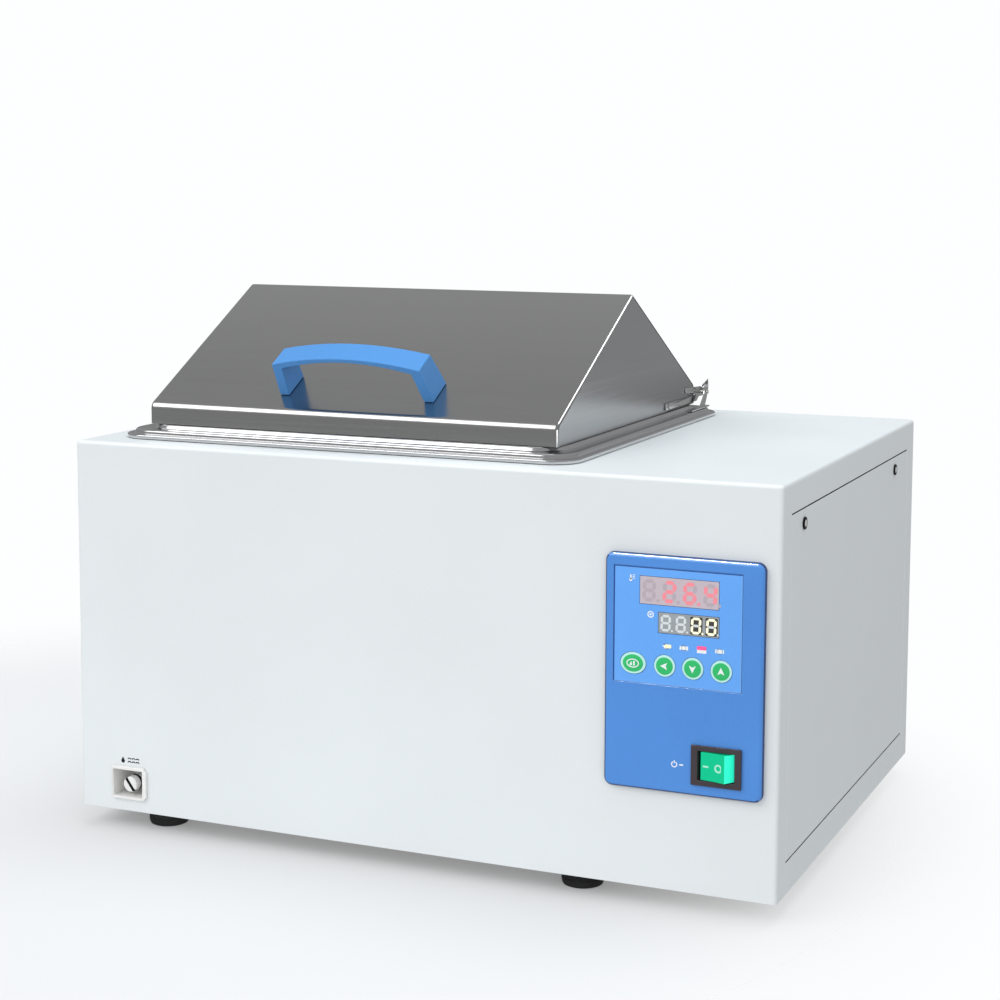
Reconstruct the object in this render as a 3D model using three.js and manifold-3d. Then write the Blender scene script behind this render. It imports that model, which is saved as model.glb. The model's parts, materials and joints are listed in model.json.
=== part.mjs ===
// Benchtop thermostatic water bath: a sheet-metal case with a stainless bath on the left under a gabled lid,
// and an electronics bay with a control panel on the right.
// Millimetres. X is to the right, Y to the back, Z up, with the origin on the bench under the case's middle.
import * as THREE from 'three';
import { mergeVertices } from 'three/addons/utils/BufferGeometryUtils.js';
import { RoundedBoxGeometry } from 'three/addons/geometries/RoundedBoxGeometry.js';
import Module from 'manifold-3d';

const wasm = await Module();
wasm.setup();

// ---- Driving dimensions -----------------------------------------------------------------------------------

const GAP = 0.3;                        // clearance left between pieces that touch
const OVERCUT = 5;                      // how far a cutting tool reaches past the skin it cuts
const THROUGH = 1;                      // how far a tool reaches past a thin sheet

const CASE = { width: 555, depth: 401, height: 285, sheet: 1.5, edge: 3, lip: 13, rearFlange: 16 };
const FOOT = {
  radius: 15.5, height: 16.5, left: -218, right: 127, y: 170, studRadius: 3, studLength: 14, clearance: 0.4,
};
const LEG_HEIGHT = 15;                  // underside of the case above the bench
const CASE_TOP = LEG_HEIGHT + CASE.height;
const SIDE = CASE.width / 2;
const FACE = CASE.depth / 2;            // the front face is at -FACE, the rear edge at +FACE
const BASE = { bottom: 16.8, thickness: 1.5, upturn: 10, slots: 6, slotPitch: 14 };
const BASE_TOP = BASE.bottom + BASE.thickness;

const COVER = { halfDepth: 178, bottom: 38.5, top: 277.1, seam: 0.8, lip: 18, lap: 4 };
const COVER_SCREWS = {
  front: -147.4, rear: 131, z: 267, headRadius: 2.8, washerRadius: 4.4, washerHeight: 1,
};
const COVER_TABS = {
  ys: [-110, 110], half: 15, slotHalf: 16, slotLow: 2, slotHigh: 5, low: 2.8, high: 4.2, hook: 6,
};
const STIFFENER_DEPTH = 7;              // how far the side cover's edges turn in
const REAR = { y: 199.5, thickness: 1.5, halfWidth: 275.7, bottom: 18.7, top: 298.2 };
const REAR_SCREWS = { inset: 9, fromBottom: 12, fromTop: 9, headRadius: 3.2, headHeight: 1.9 };
const LOUVRES = { count: 6, left: 160, right: 252, bottom: 178, pitch: 13, height: 4 };
const BASE_SLOTS = { left: 165, right: 245, front: -130, width: 5 };
const SHANK = { radius: 1.5, hole: 1.9, length: 9 };                    // the case's screws

const BATH = { x: -69.3, width: 325, depth: 303, corner: 26, floor: 109.8, sheet: 1.2 };
const RIM = { overhang: 25, corner: 22, bottom: 302, top: 306.8, landTop: 309.8 };
const GASKET = {
  inset: 3, width: 12, corner: 20, innerCorner: 10, bottom: CASE_TOP + 0.2, top: RIM.bottom - 0.2,
};
const TANK_CUTOUT = { width: 337, depth: 315, corner: 26 };
const INSULATION = { thickness: 20, clearance: 1, top: 290, outletHole: 17, sleeveHole: 14 };

const SHELF = { gap: 4.5, top: 150, thickness: 1.5, legInset: 40, legSetback: 11 };
const SHELF_HOLES = { radius: 10, columns: 4, rows: 3, pitchX: 70, pitchY: 84 };
const HEATER = { radius: 4, z: 134, reach: 250, rowY: 95, turnRadius: 24, tail: 145, neck: 7 };
const PROBE = { radius: 3, z: 139, y: 0, reach: 45, tail: 125, neck: 6 };

const LID = {
  x: BATH.x, width: 339, depth: 313.2, bottom: 310.1, fold: 325.5, ridge: 410.6, sheet: 1.2, hem: 6,
};
const HANDLE = {
  low: 20, high: 46, base: 128.6, top: 122.4, corner: 31, crown: 39.4, leg: 8, bar: 3.8,
  lean: 0.152, taper: 0.0044,           // per millimetre out from the lid: forwards, and narrower
  screwInset: 4.8, screwHole: 2.3, screwDepth: 14,
};
const HINGE = { y: 165.5, z: 319, pinRadius: 1.6, holeRadius: 1.9, sheet: 1.2, stopY: 175.5 };
const RIVET = { ys: [85, 111], z: 314.6, radius: 2, height: 0.9 };

const PANEL = {
  x: 211.2, z: 166.45, width: 112.8, height: 163.1, proud: 5, corner: 6, bevel: 3, frame: 1.5,
  holeInsetX: 9, holeInsetZ: 7,                                         // the case's hole behind it
};
const OVERLAY = {
  left: -49.8, right: 41.2, bottom: -7.4, top: 73.2, recess: 1, thickness: 0.7, margin: 0.2,
};
const PV = { x: -3.15, z: 57.25, width: 55.7, height: 18.9 };
const SV = { x: 3.7, z: 35.75, width: 42.6, height: 14 };
const BOARD_Y = 8.5;                    // front of the controller board behind the case's front face
const LAMPS = {
  xs: [-11.9, 0.5, 13.4, 25.7], z: 19.75, radius: 1.6, barReach: 4, barHalf: 2.5, barFront: 1, barBack: 4,
};
const BUTTONS = {
  z: 6.25, radius: 7.5, proud: 0.9, shoulder: 0.6, back: -2.5, stemRadius: 2.5, stemEnd: BOARD_Y - 3,
  keys: [
    { name: 'set_button', x: -35.3, stretch: 1.22 },
    { name: 'shift_button', x: -12.8, stretch: 1 },
    { name: 'down_button', x: 7.1, stretch: 1 },
    { name: 'up_button', x: 27.1, stretch: 1 },
  ],
};
const SWITCH = { x: 24.8, z: -59.35, width: 35.3, height: 27.7, proud: 1.7, wellWidth: 26, wellHeight: 20.4 };
const ROCKER_REST = -12;                // degrees
const SWITCH_BODY = {
  halfWidth: 15.5, halfHeight: 12.5, holeWidth: 31, holeHeight: 25, depth: 16, floor: 11,
};

const DRAIN = {
  left: -248.7, right: -218.1, bottom: 24.4, top: 50, wallLeft: 1.4, wallRight: 3.2, wallFlat: 2.3,
  proud: 2.3, back: -172, chamfer: 3, sleeve: 1.2, x: -234.5, z: 35.5, stemRadius: 6, face: -199.5,
};
const OUTLET = { x: -150, y: 30, bore: 4.5, radius: 6.5, neck: 7, flange: 14, flangeHeight: 5, bottom: 66 };
const HOSE_END = -120;
const INLET = { x: 190, z: 62, width: 31, height: 24, cutWidth: 27, cutHeight: 20, depth: 30, flange: 3 };
const SOCKET = { halfWidth: 12, halfHeight: 8, depth: 17, shoulder: 3, corner: 5, pinHalf: 1, pinRise: 2 };
const FUSE = { x: 234, z: 62, radius: 6.5, capRadius: 7.5, capLength: 10, depth: 32, tail: 8 };
const PARTITION = { x: 135, thickness: 1.5, front: 4, rear: 12, passage: 9 };

// ---- Materials --------------------------------------------------------------------------------------------

const paint = (color, roughness, metalness) =>
  new THREE.MeshStandardMaterial({ color, roughness, metalness });
const MATERIALS = {
  coat: paint(0xe4eaea, 0.5, 0.1),
  steel: paint(0x9a9a9c, 0.3, 1),
  zinc: paint(0xb4b4b0, 0.4, 1),
  blue: paint(0x508cdc, 0.35, 0),
  overlay: paint(0x69a5fa, 0.4, 0),
  handle: paint(0x64a5f0, 0.45, 0),
  green: paint(0x3ccd78, 0.4, 0),
  rocker: paint(0x00b478, 0.25, 0),
  black: paint(0x1a1a1c, 0.6, 0),
  white: paint(0xf0f0ee, 0.5, 0),
  pv: paint(0xb89a9e, 0.3, 0),
  sv: paint(0xa8a8a4, 0.3, 0),
  rubber: paint(0x202022, 0.8, 0),
  wool: paint(0xd9d3b8, 0.95, 0),
  hose: paint(0xd6d9d4, 0.5, 0),
  board: paint(0x1f6b3a, 0.6, 0),
  brass: paint(0xb99a55, 0.35, 1),
  aluminium: paint(0xb8bbbd, 0.4, 1),
  copper: paint(0x8a5a3a, 0.5, 0.4),
};

// ---- Solids -----------------------------------------------------------------------------------------------

function solidOf(geometry) {
  const bare = geometry.clone();
  bare.deleteAttribute('normal');
  bare.deleteAttribute('uv');
  const merged = mergeVertices(bare, 1e-4);
  const vertProperties = new Float32Array(merged.attributes.position.array);
  const triVerts = new Uint32Array(merged.index.array);
  return new wasm.Manifold(new wasm.Mesh({ numProp: 3, vertProperties, triVerts }));
}

function geometryOf(solid) {
  const data = solid.getMesh();
  const geometry = new THREE.BufferGeometry();
  geometry.setAttribute('position', new THREE.BufferAttribute(new Float32Array(data.vertProperties), 3));
  geometry.setIndex(new THREE.BufferAttribute(new Uint32Array(data.triVerts), 1));
  return geometry;
}

function piece(parent, name, solid, material) {
  const mesh = new THREE.Mesh(geometryOf(solid), material);
  mesh.name = name;
  parent.add(mesh);
  return mesh;
}

const joined = (solids) => solids.reduce((sum, next) => sum.add(next));
const cut = (solid, tools) => tools.reduce((rest, tool) => rest.subtract(tool), solid);

function box(x0, x1, y0, y1, z0, z1) {
  const geometry = new THREE.BoxGeometry(x1 - x0, y1 - y0, z1 - z0);
  geometry.translate((x0 + x1) / 2, (y0 + y1) / 2, (z0 + z1) / 2);
  return solidOf(geometry);
}

// Turns a geometry made along +Z so that it lies along X, Y or Z.
function alongAxis(geometry, axis) {
  const [right, up, along] = {
    x: [new THREE.Vector3(0, 1, 0), new THREE.Vector3(0, 0, 1), new THREE.Vector3(1, 0, 0)],
    y: [new THREE.Vector3(-1, 0, 0), new THREE.Vector3(0, 0, 1), new THREE.Vector3(0, 1, 0)],
    z: [new THREE.Vector3(1, 0, 0), new THREE.Vector3(0, 1, 0), new THREE.Vector3(0, 0, 1)],
  }[axis];
  geometry.applyMatrix4(new THREE.Matrix4().makeBasis(right, up, along));
  return geometry;
}

// A round bar along an axis, from one place on it to another, through the point (x, y, z).
function rod(axis, radius, from, to, [x, y, z], sides = 20) {
  const geometry = new THREE.CylinderGeometry(radius, radius, to - from, sides);
  geometry.rotateX(Math.PI / 2);
  geometry.translate(0, 0, (from + to) / 2);
  alongAxis(geometry, axis);
  const centre = new THREE.Vector3(x, y, z);
  centre[axis] = 0;
  geometry.translate(centre.x, centre.y, centre.z);
  return solidOf(geometry);
}

// A turned piece: radius and height pairs, spun about the axis through (x, y, z).
function turned(axis, profile, [x, y, z], sides = 20) {
  const points = profile.map(([radius, height]) => new THREE.Vector2(radius, height));
  const geometry = new THREE.LatheGeometry(points, sides);
  geometry.rotateX(Math.PI / 2);
  alongAxis(geometry, axis);
  geometry.translate(x, y, z);
  return upright(geometry);
}

// Turns a closed skin inside out if its faces point inwards.
function upright(geometry) {
  const bare = geometry.clone();
  bare.deleteAttribute('normal');
  bare.deleteAttribute('uv');
  const merged = mergeVertices(bare, 1e-4);
  const position = merged.attributes.position;
  const index = Array.from(merged.index.array);
  const [a, b, c] = [new THREE.Vector3(), new THREE.Vector3(), new THREE.Vector3()];
  let volume = 0;
  const kept = [];
  for (let i = 0; i < index.length; i += 3) {
    const [p, q, r] = index.slice(i, i + 3);
    if (p === q || q === r || r === p) continue;
    kept.push(p, q, r);
    a.fromBufferAttribute(position, p);
    b.fromBufferAttribute(position, q);
    c.fromBufferAttribute(position, r);
    volume += a.dot(b.cross(c)) / 6;
  }
  if (volume < 0) kept.reverse();
  merged.setIndex(kept);
  return solidOf(merged);
}

function roundedRectangle(x0, x1, y0, y1, radius) {
  const shape = new THREE.Shape();
  shape.moveTo(x0 + radius, y0);
  shape.lineTo(x1 - radius, y0);
  shape.absarc(x1 - radius, y0 + radius, radius, -Math.PI / 2, 0);
  shape.lineTo(x1, y1 - radius);
  shape.absarc(x1 - radius, y1 - radius, radius, 0, Math.PI / 2);
  shape.lineTo(x0 + radius, y1);
  shape.absarc(x0 + radius, y1 - radius, radius, Math.PI / 2, Math.PI);
  shape.lineTo(x0, y0 + radius);
  shape.absarc(x0 + radius, y0 + radius, radius, Math.PI, Math.PI * 1.5);
  return shape;
}

function outline(points) {
  return new THREE.Shape(points.map(([x, y]) => new THREE.Vector2(x, y)));
}

// A straight extrusion with its outline seen from above (X, Y), from one height to another.
function upPrism(shape, z0, z1, curveSegments = 4) {
  const geometry = new THREE.ExtrudeGeometry(shape, { depth: z1 - z0, bevelEnabled: false, curveSegments });
  geometry.translate(0, 0, z0);
  return upright(geometry);
}

// A straight extrusion with its outline seen from the front (X, Z), from one depth to another.
function frontPrism(shape, y0, y1, curveSegments = 4) {
  const geometry = new THREE.ExtrudeGeometry(shape, { depth: y1 - y0, bevelEnabled: false, curveSegments });
  geometry.rotateX(Math.PI / 2);
  geometry.translate(0, y1, 0);
  return upright(geometry);
}

// A straight extrusion with its outline seen from the right (Y, Z), from one X to another.
function sidePrism(shape, x0, x1, curveSegments = 4) {
  const geometry = new THREE.ExtrudeGeometry(shape, { depth: x1 - x0, bevelEnabled: false, curveSegments });
  geometry.translate(0, 0, x0);
  return upright(alongAxis(geometry, 'x'));
}

// A solid bar bent along a curve through the points.
function bentBar(points, radius, steps, sides = 8) {
  const path = new THREE.CatmullRomCurve3(points.map((p) => new THREE.Vector3(...p)), false, 'centripetal');
  const section = new THREE.Shape();
  section.absarc(0, 0, radius, 0, Math.PI * 2);
  const options = { steps, bevelEnabled: false, extrudePath: path, curveSegments: sides / 2 };
  return upright(new THREE.ExtrudeGeometry(section, options));
}

// A skin through equal rings of points, with the first and last ring filled in.
function lofted(rings) {
  const count = rings[0].length;
  const positions = rings.flat(2);
  const index = [];
  for (let ring = 0; ring + 1 < rings.length; ring++) {
    for (let i = 0; i < count; i++) {
      const [a, b] = [ring * count + i, ring * count + ((i + 1) % count)];
      index.push(a, b, b + count, a, b + count, a + count);
    }
  }
  const last = (rings.length - 1) * count;
  for (let i = 1; i + 1 < count; i++) {
    index.push(0, i + 1, i);
    index.push(last, last + i, last + i + 1);
  }
  const geometry = new THREE.BufferGeometry();
  geometry.setAttribute('position', new THREE.Float32BufferAttribute(positions, 3));
  geometry.setIndex(index);
  return upright(geometry);
}

// The points of a level rounded rectangle about the middle of the bath.
function bathRing(width, depth, radius, z, perCorner = 7) {
  const ring = [];
  for (const [sx, sy, start] of [[1, -1, -0.5], [1, 1, 0], [-1, 1, 0.5], [-1, -1, 1]]) {
    for (let i = 0; i < perCorner; i++) {
      const angle = Math.PI * (start + (0.5 * i) / (perCorner - 1));
      const x = BATH.x + sx * (width / 2 - radius) + radius * Math.cos(angle);
      const y = sy * (depth / 2 - radius) + radius * Math.sin(angle);
      ring.push([x, y, z]);
    }
  }
  return ring;
}

// ---- Casing -----------------------------------------------------------------------------------------------

const bath = new THREE.Group();
const casing = new THREE.Group();
const lid = new THREE.Group();
const controls = new THREE.Group();
const electrics = new THREE.Group();

function buildCaseShell() {
  // The rounded box runs on past the case at the back and below, where its edges are not wanted.
  const past = 20;
  const rounded = new RoundedBoxGeometry(CASE.width, CASE.depth + past, CASE.height + past, 2, CASE.edge);
  rounded.translate(0, past / 2, LEG_HEIGHT + (CASE.height - past) / 2);
  const skin = solidOf(rounded).intersect(box(-SIDE, SIDE, -FACE, FACE, LEG_HEIGHT, CASE_TOP));
  const inner = SIDE - CASE.sheet;
  const innerFront = -FACE + CASE.sheet;
  const hollow = box(-inner, inner, innerFront, FACE + OVERCUT, LEG_HEIGHT - OVERCUT, CASE_TOP - CASE.sheet);
  const shell = skin.subtract(hollow);

  const lipTop = LEG_HEIGHT + CASE.sheet;
  const lipFrame = box(-inner, inner, innerFront, REAR.y - GAP, LEG_HEIGHT, lipTop);
  const lipInner = inner - CASE.lip;
  const lipHole = box(
    -lipInner, lipInner, innerFront + CASE.lip, FACE, LEG_HEIGHT - THROUGH, lipTop + THROUGH);
  const flangeFront = REAR.y - GAP - CASE.sheet;
  const flange = box(-inner, inner, flangeFront, REAR.y - GAP, LEG_HEIGHT, CASE_TOP - CASE.sheet);
  const flangeInner = inner - CASE.rearFlange;
  const flangeHole = box(
    -flangeInner, flangeInner, flangeFront - THROUGH, FACE, 0, CASE_TOP - CASE.rearFlange);

  const coverLip = box(
    inner - 2 * GAP - CASE.sheet, inner, -COVER.halfDepth - COVER.lap, COVER.halfDepth + COVER.lap,
    COVER.bottom - COVER.lap, COVER.top + COVER.lap);
  const lipWindow = box(
    inner - OVERCUT, SIDE, -COVER.halfDepth + COVER.lip, COVER.halfDepth - COVER.lip,
    COVER.bottom + COVER.lip, COVER.top - COVER.lip);
  const coverSeat = box(
    inner - GAP, SIDE + OVERCUT, -COVER.halfDepth - COVER.seam, COVER.halfDepth + COVER.seam,
    COVER.bottom - COVER.seam, COVER.top + COVER.seam);

  const [tankX, tankY] = [TANK_CUTOUT.width / 2, TANK_CUTOUT.depth / 2];
  const tankHole = upPrism(
    roundedRectangle(BATH.x - tankX, BATH.x + tankX, -tankY, tankY, TANK_CUTOUT.corner),
    CASE_TOP - OVERCUT, CASE_TOP + OVERCUT);
  const [panelX, panelZ] = [PANEL.width / 2 - PANEL.holeInsetX, PANEL.height / 2 - PANEL.holeInsetZ];
  const panelHole = box(
    PANEL.x - panelX, PANEL.x + panelX, -FACE - OVERCUT, -FACE + OVERCUT,
    PANEL.z - panelZ, PANEL.z + panelZ);
  const drainWall = DRAIN.sleeve + GAP;
  const drainHole = box(
    DRAIN.left + DRAIN.wallLeft - drainWall, DRAIN.right - DRAIN.wallRight + drainWall,
    -FACE - OVERCUT, -FACE + OVERCUT,
    DRAIN.bottom + DRAIN.wallFlat - drainWall, DRAIN.top - DRAIN.wallFlat + drainWall);
  const coverScrewHoles = coverScrewYs.map((y) =>
    rod('x', SHANK.hole, inner - OVERCUT, SIDE, [0, y, COVER_SCREWS.z], 10));
  const { ys, slotHalf, slotLow, slotHigh } = COVER_TABS;
  const tabSlots = ys.map((y) =>
    box(inner - OVERCUT, SIDE, y - slotHalf, y + slotHalf, COVER.bottom + slotLow, COVER.bottom + slotHigh));
  const rearScrewHoles = rearScrewPlaces().map(([x, z]) =>
    rod('y', SHANK.hole, REAR.y - OVERCUT, FACE, [x, 0, z], 8));

  const framed = joined([shell, lipFrame.subtract(lipHole), flange.subtract(flangeHole), coverLip]);
  const openings = [lipWindow, coverSeat, tankHole, panelHole, drainHole];
  const shellCut = cut(framed, [...openings, ...coverScrewHoles, ...tabSlots, ...rearScrewHoles]);
  piece(casing, 'case_shell', shellCut, MATERIALS.coat);
}

const coverScrewYs = [COVER_SCREWS.front, COVER_SCREWS.rear];

function rearScrewPlaces() {
  const x = REAR.halfWidth - REAR_SCREWS.inset;
  const [low, high] = [REAR.bottom + REAR_SCREWS.fromBottom, REAR.top - REAR_SCREWS.fromTop];
  return [[-x, low], [x, low], [-x, high], [x, high]];
}

function footPlaces() {
  return [
    ['foot_front_left', FOOT.left, -FOOT.y],
    ['foot_front_right', FOOT.right, -FOOT.y],
    ['foot_rear_left', FOOT.left, FOOT.y],
    ['foot_rear_right', FOOT.right, FOOT.y],
  ];
}

function buildBasePlate() {
  const half = SIDE - CASE.sheet - GAP;
  const [front, back] = [-FACE + CASE.sheet + GAP, REAR.y - 2 * GAP - CASE.sheet];
  const upturnTop = BASE_TOP + BASE.upturn;
  const tray = joined([
    box(-half, half, front, back, BASE.bottom, BASE_TOP),
    box(-half, half, front, front + BASE.thickness, BASE.bottom, upturnTop),
    box(-half, half, back - BASE.thickness, back, BASE.bottom, upturnTop),
  ]);
  const [below, above] = [BASE.bottom - THROUGH, BASE_TOP + THROUGH];
  const studHoles = footPlaces().map(([, x, y]) =>
    rod('z', FOOT.studRadius + FOOT.clearance, below, above, [x, y, 0], 12));
  const slots = [];
  for (let i = 0; i < BASE.slots; i++) {
    const y = BASE_SLOTS.front + i * BASE.slotPitch;
    slots.push(box(BASE_SLOTS.left, BASE_SLOTS.right, y, y + BASE_SLOTS.width, below, above));
  }
  const drainNotch = box(
    DRAIN.left - THROUGH, DRAIN.right + THROUGH, front - THROUGH, front + OVERCUT,
    DRAIN.bottom, upturnTop + THROUGH);
  piece(casing, 'base_plate', cut(tray, [...studHoles, ...slots, drainNotch]), MATERIALS.zinc);
}

function buildFeet() {
  const { radius, height, studRadius, studLength } = FOOT;
  const profile = [
    [0, 0], [radius - 1.8, 0], [radius - 0.5, 1.5], [radius, 5], [radius - 0.6, height - 1.5],
    [radius - 2, height], [studRadius, height], [studRadius, height + studLength], [0, height + studLength],
  ];
  for (const [name, x, y] of footPlaces()) {
    piece(casing, name, turned('z', profile, [x, y, 0], 24), MATERIALS.rubber);
  }
}

function buildSideCover() {
  const inner = SIDE - CASE.sheet;
  const plate = box(inner, SIDE, -COVER.halfDepth, COVER.halfDepth, COVER.bottom, COVER.top);
  const holes = coverScrewYs.map((y) =>
    rod('x', SHANK.hole, inner - OVERCUT, SIDE + OVERCUT, [0, y, COVER_SCREWS.z], 10));
  const inset = COVER.lip + THROUGH;
  const edge = COVER.halfDepth - inset;
  const stiffeners = [-1, 1].map((side) => {
    const [y0, y1] = [side * edge, side * (edge - CASE.sheet)].sort((a, b) => a - b);
    return box(inner - STIFFENER_DEPTH, inner, y0, y1, COVER.bottom + inset, COVER.top - inset);
  });
  const behindLip = inner - 2 * GAP - CASE.sheet - GAP;
  const { ys, half, low, high, hook } = COVER_TABS;
  const tabs = ys.flatMap((y) => [
    box(behindLip - CASE.sheet, inner, y - half, y + half, COVER.bottom + low, COVER.bottom + high),
    box(behindLip - CASE.sheet, behindLip, y - half, y + half, COVER.bottom - hook, COVER.bottom + high),
  ]);
  piece(casing, 'side_cover', cut(joined([plate, ...stiffeners, ...tabs]), holes), MATERIALS.coat);
}

function buildCoverScrews() {
  const { headRadius, washerRadius, washerHeight, z } = COVER_SCREWS;
  const seat = SIDE + GAP;
  const washer = [
    [SHANK.hole, 0], [washerRadius, 0], [washerRadius - 0.5, washerHeight], [SHANK.hole, washerHeight],
  ];
  const head = washerHeight + GAP;
  const screw = [
    [0, -SHANK.length], [SHANK.radius, -SHANK.length], [SHANK.radius, head], [headRadius, head],
    [headRadius - 0.4, head + 1.2], [0, head + 1.4],
  ];
  for (const end of ['front', 'rear']) {
    const place = [seat, COVER_SCREWS[end], z];
    const ring = turned('x', [...washer, washer[0]], place, 20);
    piece(casing, `side_cover_washer_${end}`, ring, MATERIALS.black);
    piece(casing, `side_cover_screw_${end}`, turned('x', screw, place, 16), MATERIALS.zinc);
  }
}

function buildRearPanel() {
  const back = REAR.y + REAR.thickness;
  const plate = box(-REAR.halfWidth, REAR.halfWidth, REAR.y, back, REAR.bottom, REAR.top);
  const louvres = [];
  for (let i = 0; i < LOUVRES.count; i++) {
    const z = LOUVRES.bottom + i * LOUVRES.pitch;
    louvres.push(
      box(LOUVRES.left, LOUVRES.right, REAR.y - THROUGH, back + THROUGH, z, z + LOUVRES.height));
  }
  const [halfWidth, halfHeight] = [INLET.cutWidth / 2 + GAP, INLET.cutHeight / 2 + GAP];
  const inlet = box(
    INLET.x - halfWidth, INLET.x + halfWidth, REAR.y - THROUGH, back + THROUGH,
    INLET.z - halfHeight, INLET.z + halfHeight);
  const fuse = rod('y', FUSE.radius + GAP, REAR.y - THROUGH, back + THROUGH, [FUSE.x, 0, FUSE.z], 16);
  const holes = rearScrewPlaces().map(([x, z]) =>
    rod('y', SHANK.hole, REAR.y - THROUGH, back + THROUGH, [x, 0, z], 8));
  piece(casing, 'rear_panel', cut(plate, [...louvres, inlet, fuse, ...holes]), MATERIALS.coat);

  const { headRadius, headHeight } = REAR_SCREWS;
  const screw = [
    [0, -SHANK.length], [SHANK.radius, -SHANK.length], [SHANK.radius, 0], [headRadius, 0],
    [headRadius - 0.4, headHeight - 0.3], [0, headHeight],
  ];
  const names = ['lower_left', 'lower_right', 'upper_left', 'upper_right'];
  rearScrewPlaces().forEach(([x, z], i) => {
    piece(casing, `rear_screw_${names[i]}`, turned('y', screw, [x, back + GAP, z], 12), MATERIALS.zinc);
  });
}

function buildPartition() {
  const { x, thickness, front, rear, passage } = PARTITION;
  const wall = box(
    x, x + thickness, -FACE + CASE.sheet + front, REAR.y - rear, BASE_TOP + GAP, CASE_TOP - CASE.sheet - GAP);
  const passages = wallPassages().map(({ y, z }) =>
    rod('x', passage, x - THROUGH, x + thickness + THROUGH, [0, y, z], 12));
  piece(casing, 'partition_wall', cut(wall, passages), MATERIALS.zinc);
}

// ---- Bath -------------------------------------------------------------------------------------------------

function heaterRows() {
  return [HEATER.rowY, -HEATER.rowY];
}

const bathRight = BATH.x + BATH.width / 2;

function buildTank() {
  const { width, depth, corner, sheet, floor } = BATH;
  const { overhang, bottom, top, landTop } = RIM;
  // Each step of the pressed rim: how far outside the bath's wall, and how high.
  const outside = [
    [-14, floor - sheet], [-6, floor - sheet + 3], [sheet, floor + 13], [sheet, landTop - sheet - 1.5],
    [3, landTop - sheet], [7.5, landTop - sheet], [8.5, top - sheet], [18.5, top - sheet],
    [20.2, bottom], [overhang, bottom],
  ];
  const inside = [
    [overhang, bottom + 1], [21.6, bottom + 1.2], [20.9, top - 0.9], [19.6, top], [10, top],
    [8.8, landTop], [2, landTop], [0.4, landTop - 0.7], [0, landTop - 2.4],
    [0, floor + 13], [-6, floor + 4], [-14, floor],
  ];
  const cornerAt = (out) => (out > 0 ? corner + (out * (RIM.corner - corner)) / overhang : corner);
  const ring = ([out, z]) => bathRing(width + 2 * out, depth + 2 * out, cornerAt(out), z);
  const skin = lofted([...outside, ...inside].map(ring));
  const outlet = rod('z', OUTLET.neck + GAP, floor - OVERCUT, floor + OVERCUT, [OUTLET.x, OUTLET.y, 0], 20);
  const wallHoles = wallPassages().map(({ radius, y, z }) =>
    rod('x', radius, bathRight - OVERCUT, bathRight + OVERCUT, [0, y, z], 16));
  piece(bath, 'inner_tank', cut(skin, [outlet, ...wallHoles]), MATERIALS.steel);
}

function wallPassages() {
  const heaters = heaterRows().map((y) => ({ radius: HEATER.neck + GAP, y, z: HEATER.z }));
  return [...heaters, { radius: PROBE.neck + GAP, y: PROBE.y, z: PROBE.z }];
}

function buildGasket() {
  const inset = RIM.overhang - GASKET.inset;
  const [halfWidth, halfDepth] = [BATH.width / 2 + inset, BATH.depth / 2 + inset];
  const ring = (inside, radius) => {
    const [w, d] = [halfWidth - inside, halfDepth - inside];
    return roundedRectangle(BATH.x - w, BATH.x + w, -d, d, radius);
  };
  const full = upPrism(ring(0, GASKET.corner), GASKET.bottom, GASKET.top, 3);
  const hole = upPrism(
    ring(GASKET.width, GASKET.innerCorner), GASKET.bottom - THROUGH, GASKET.top + THROUGH, 3);
  piece(bath, 'rim_gasket', full.subtract(hole), MATERIALS.rubber);
}

function buildInsulation() {
  const clear = BATH.sheet + INSULATION.clearance;
  const [halfWidth, halfDepth] = [BATH.width / 2 + clear, BATH.depth / 2 + clear];
  const { thickness, top, outletHole, sleeveHole } = INSULATION;
  const underside = BATH.floor - clear;
  const [outerWidth, outerDepth] = [halfWidth + thickness, halfDepth + thickness];
  const block = box(
    BATH.x - outerWidth, BATH.x + outerWidth, -outerDepth, outerDepth, underside - thickness, top);
  const pocket = box(
    BATH.x - halfWidth, BATH.x + halfWidth, -halfDepth, halfDepth, underside, top + OVERCUT);
  const outlet = rod('z', outletHole, 0, BATH.floor, [OUTLET.x, OUTLET.y, 0], 16);
  const sleeves = wallPassages().map(({ y, z }) =>
    rod('x', sleeveHole, bathRight, BATH.x + outerWidth + OVERCUT, [0, y, z], 16));
  piece(bath, 'tank_insulation', cut(block, [pocket, outlet, ...sleeves]), MATERIALS.wool);
}

// A threaded gland through the bath's right wall: a collar inside, a sleeve, and a nut outside.
function wallGland(name, bore, neck, y, z) {
  const wall = BATH.sheet + GAP;
  const [collar, nut, nutHeight, end] = [neck + 3.5, neck + 4, 6, wall + 12];
  const profile = [
    [bore, -4], [collar, -4], [collar, -GAP], [neck, -GAP], [neck, wall], [nut, wall],
    [nut, wall + nutHeight], [neck, wall + nutHeight], [neck, end], [bore, end], [bore, -4],
  ];
  piece(bath, name, turned('x', profile, [bathRight, y, z], 12), MATERIALS.brass);
}

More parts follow.
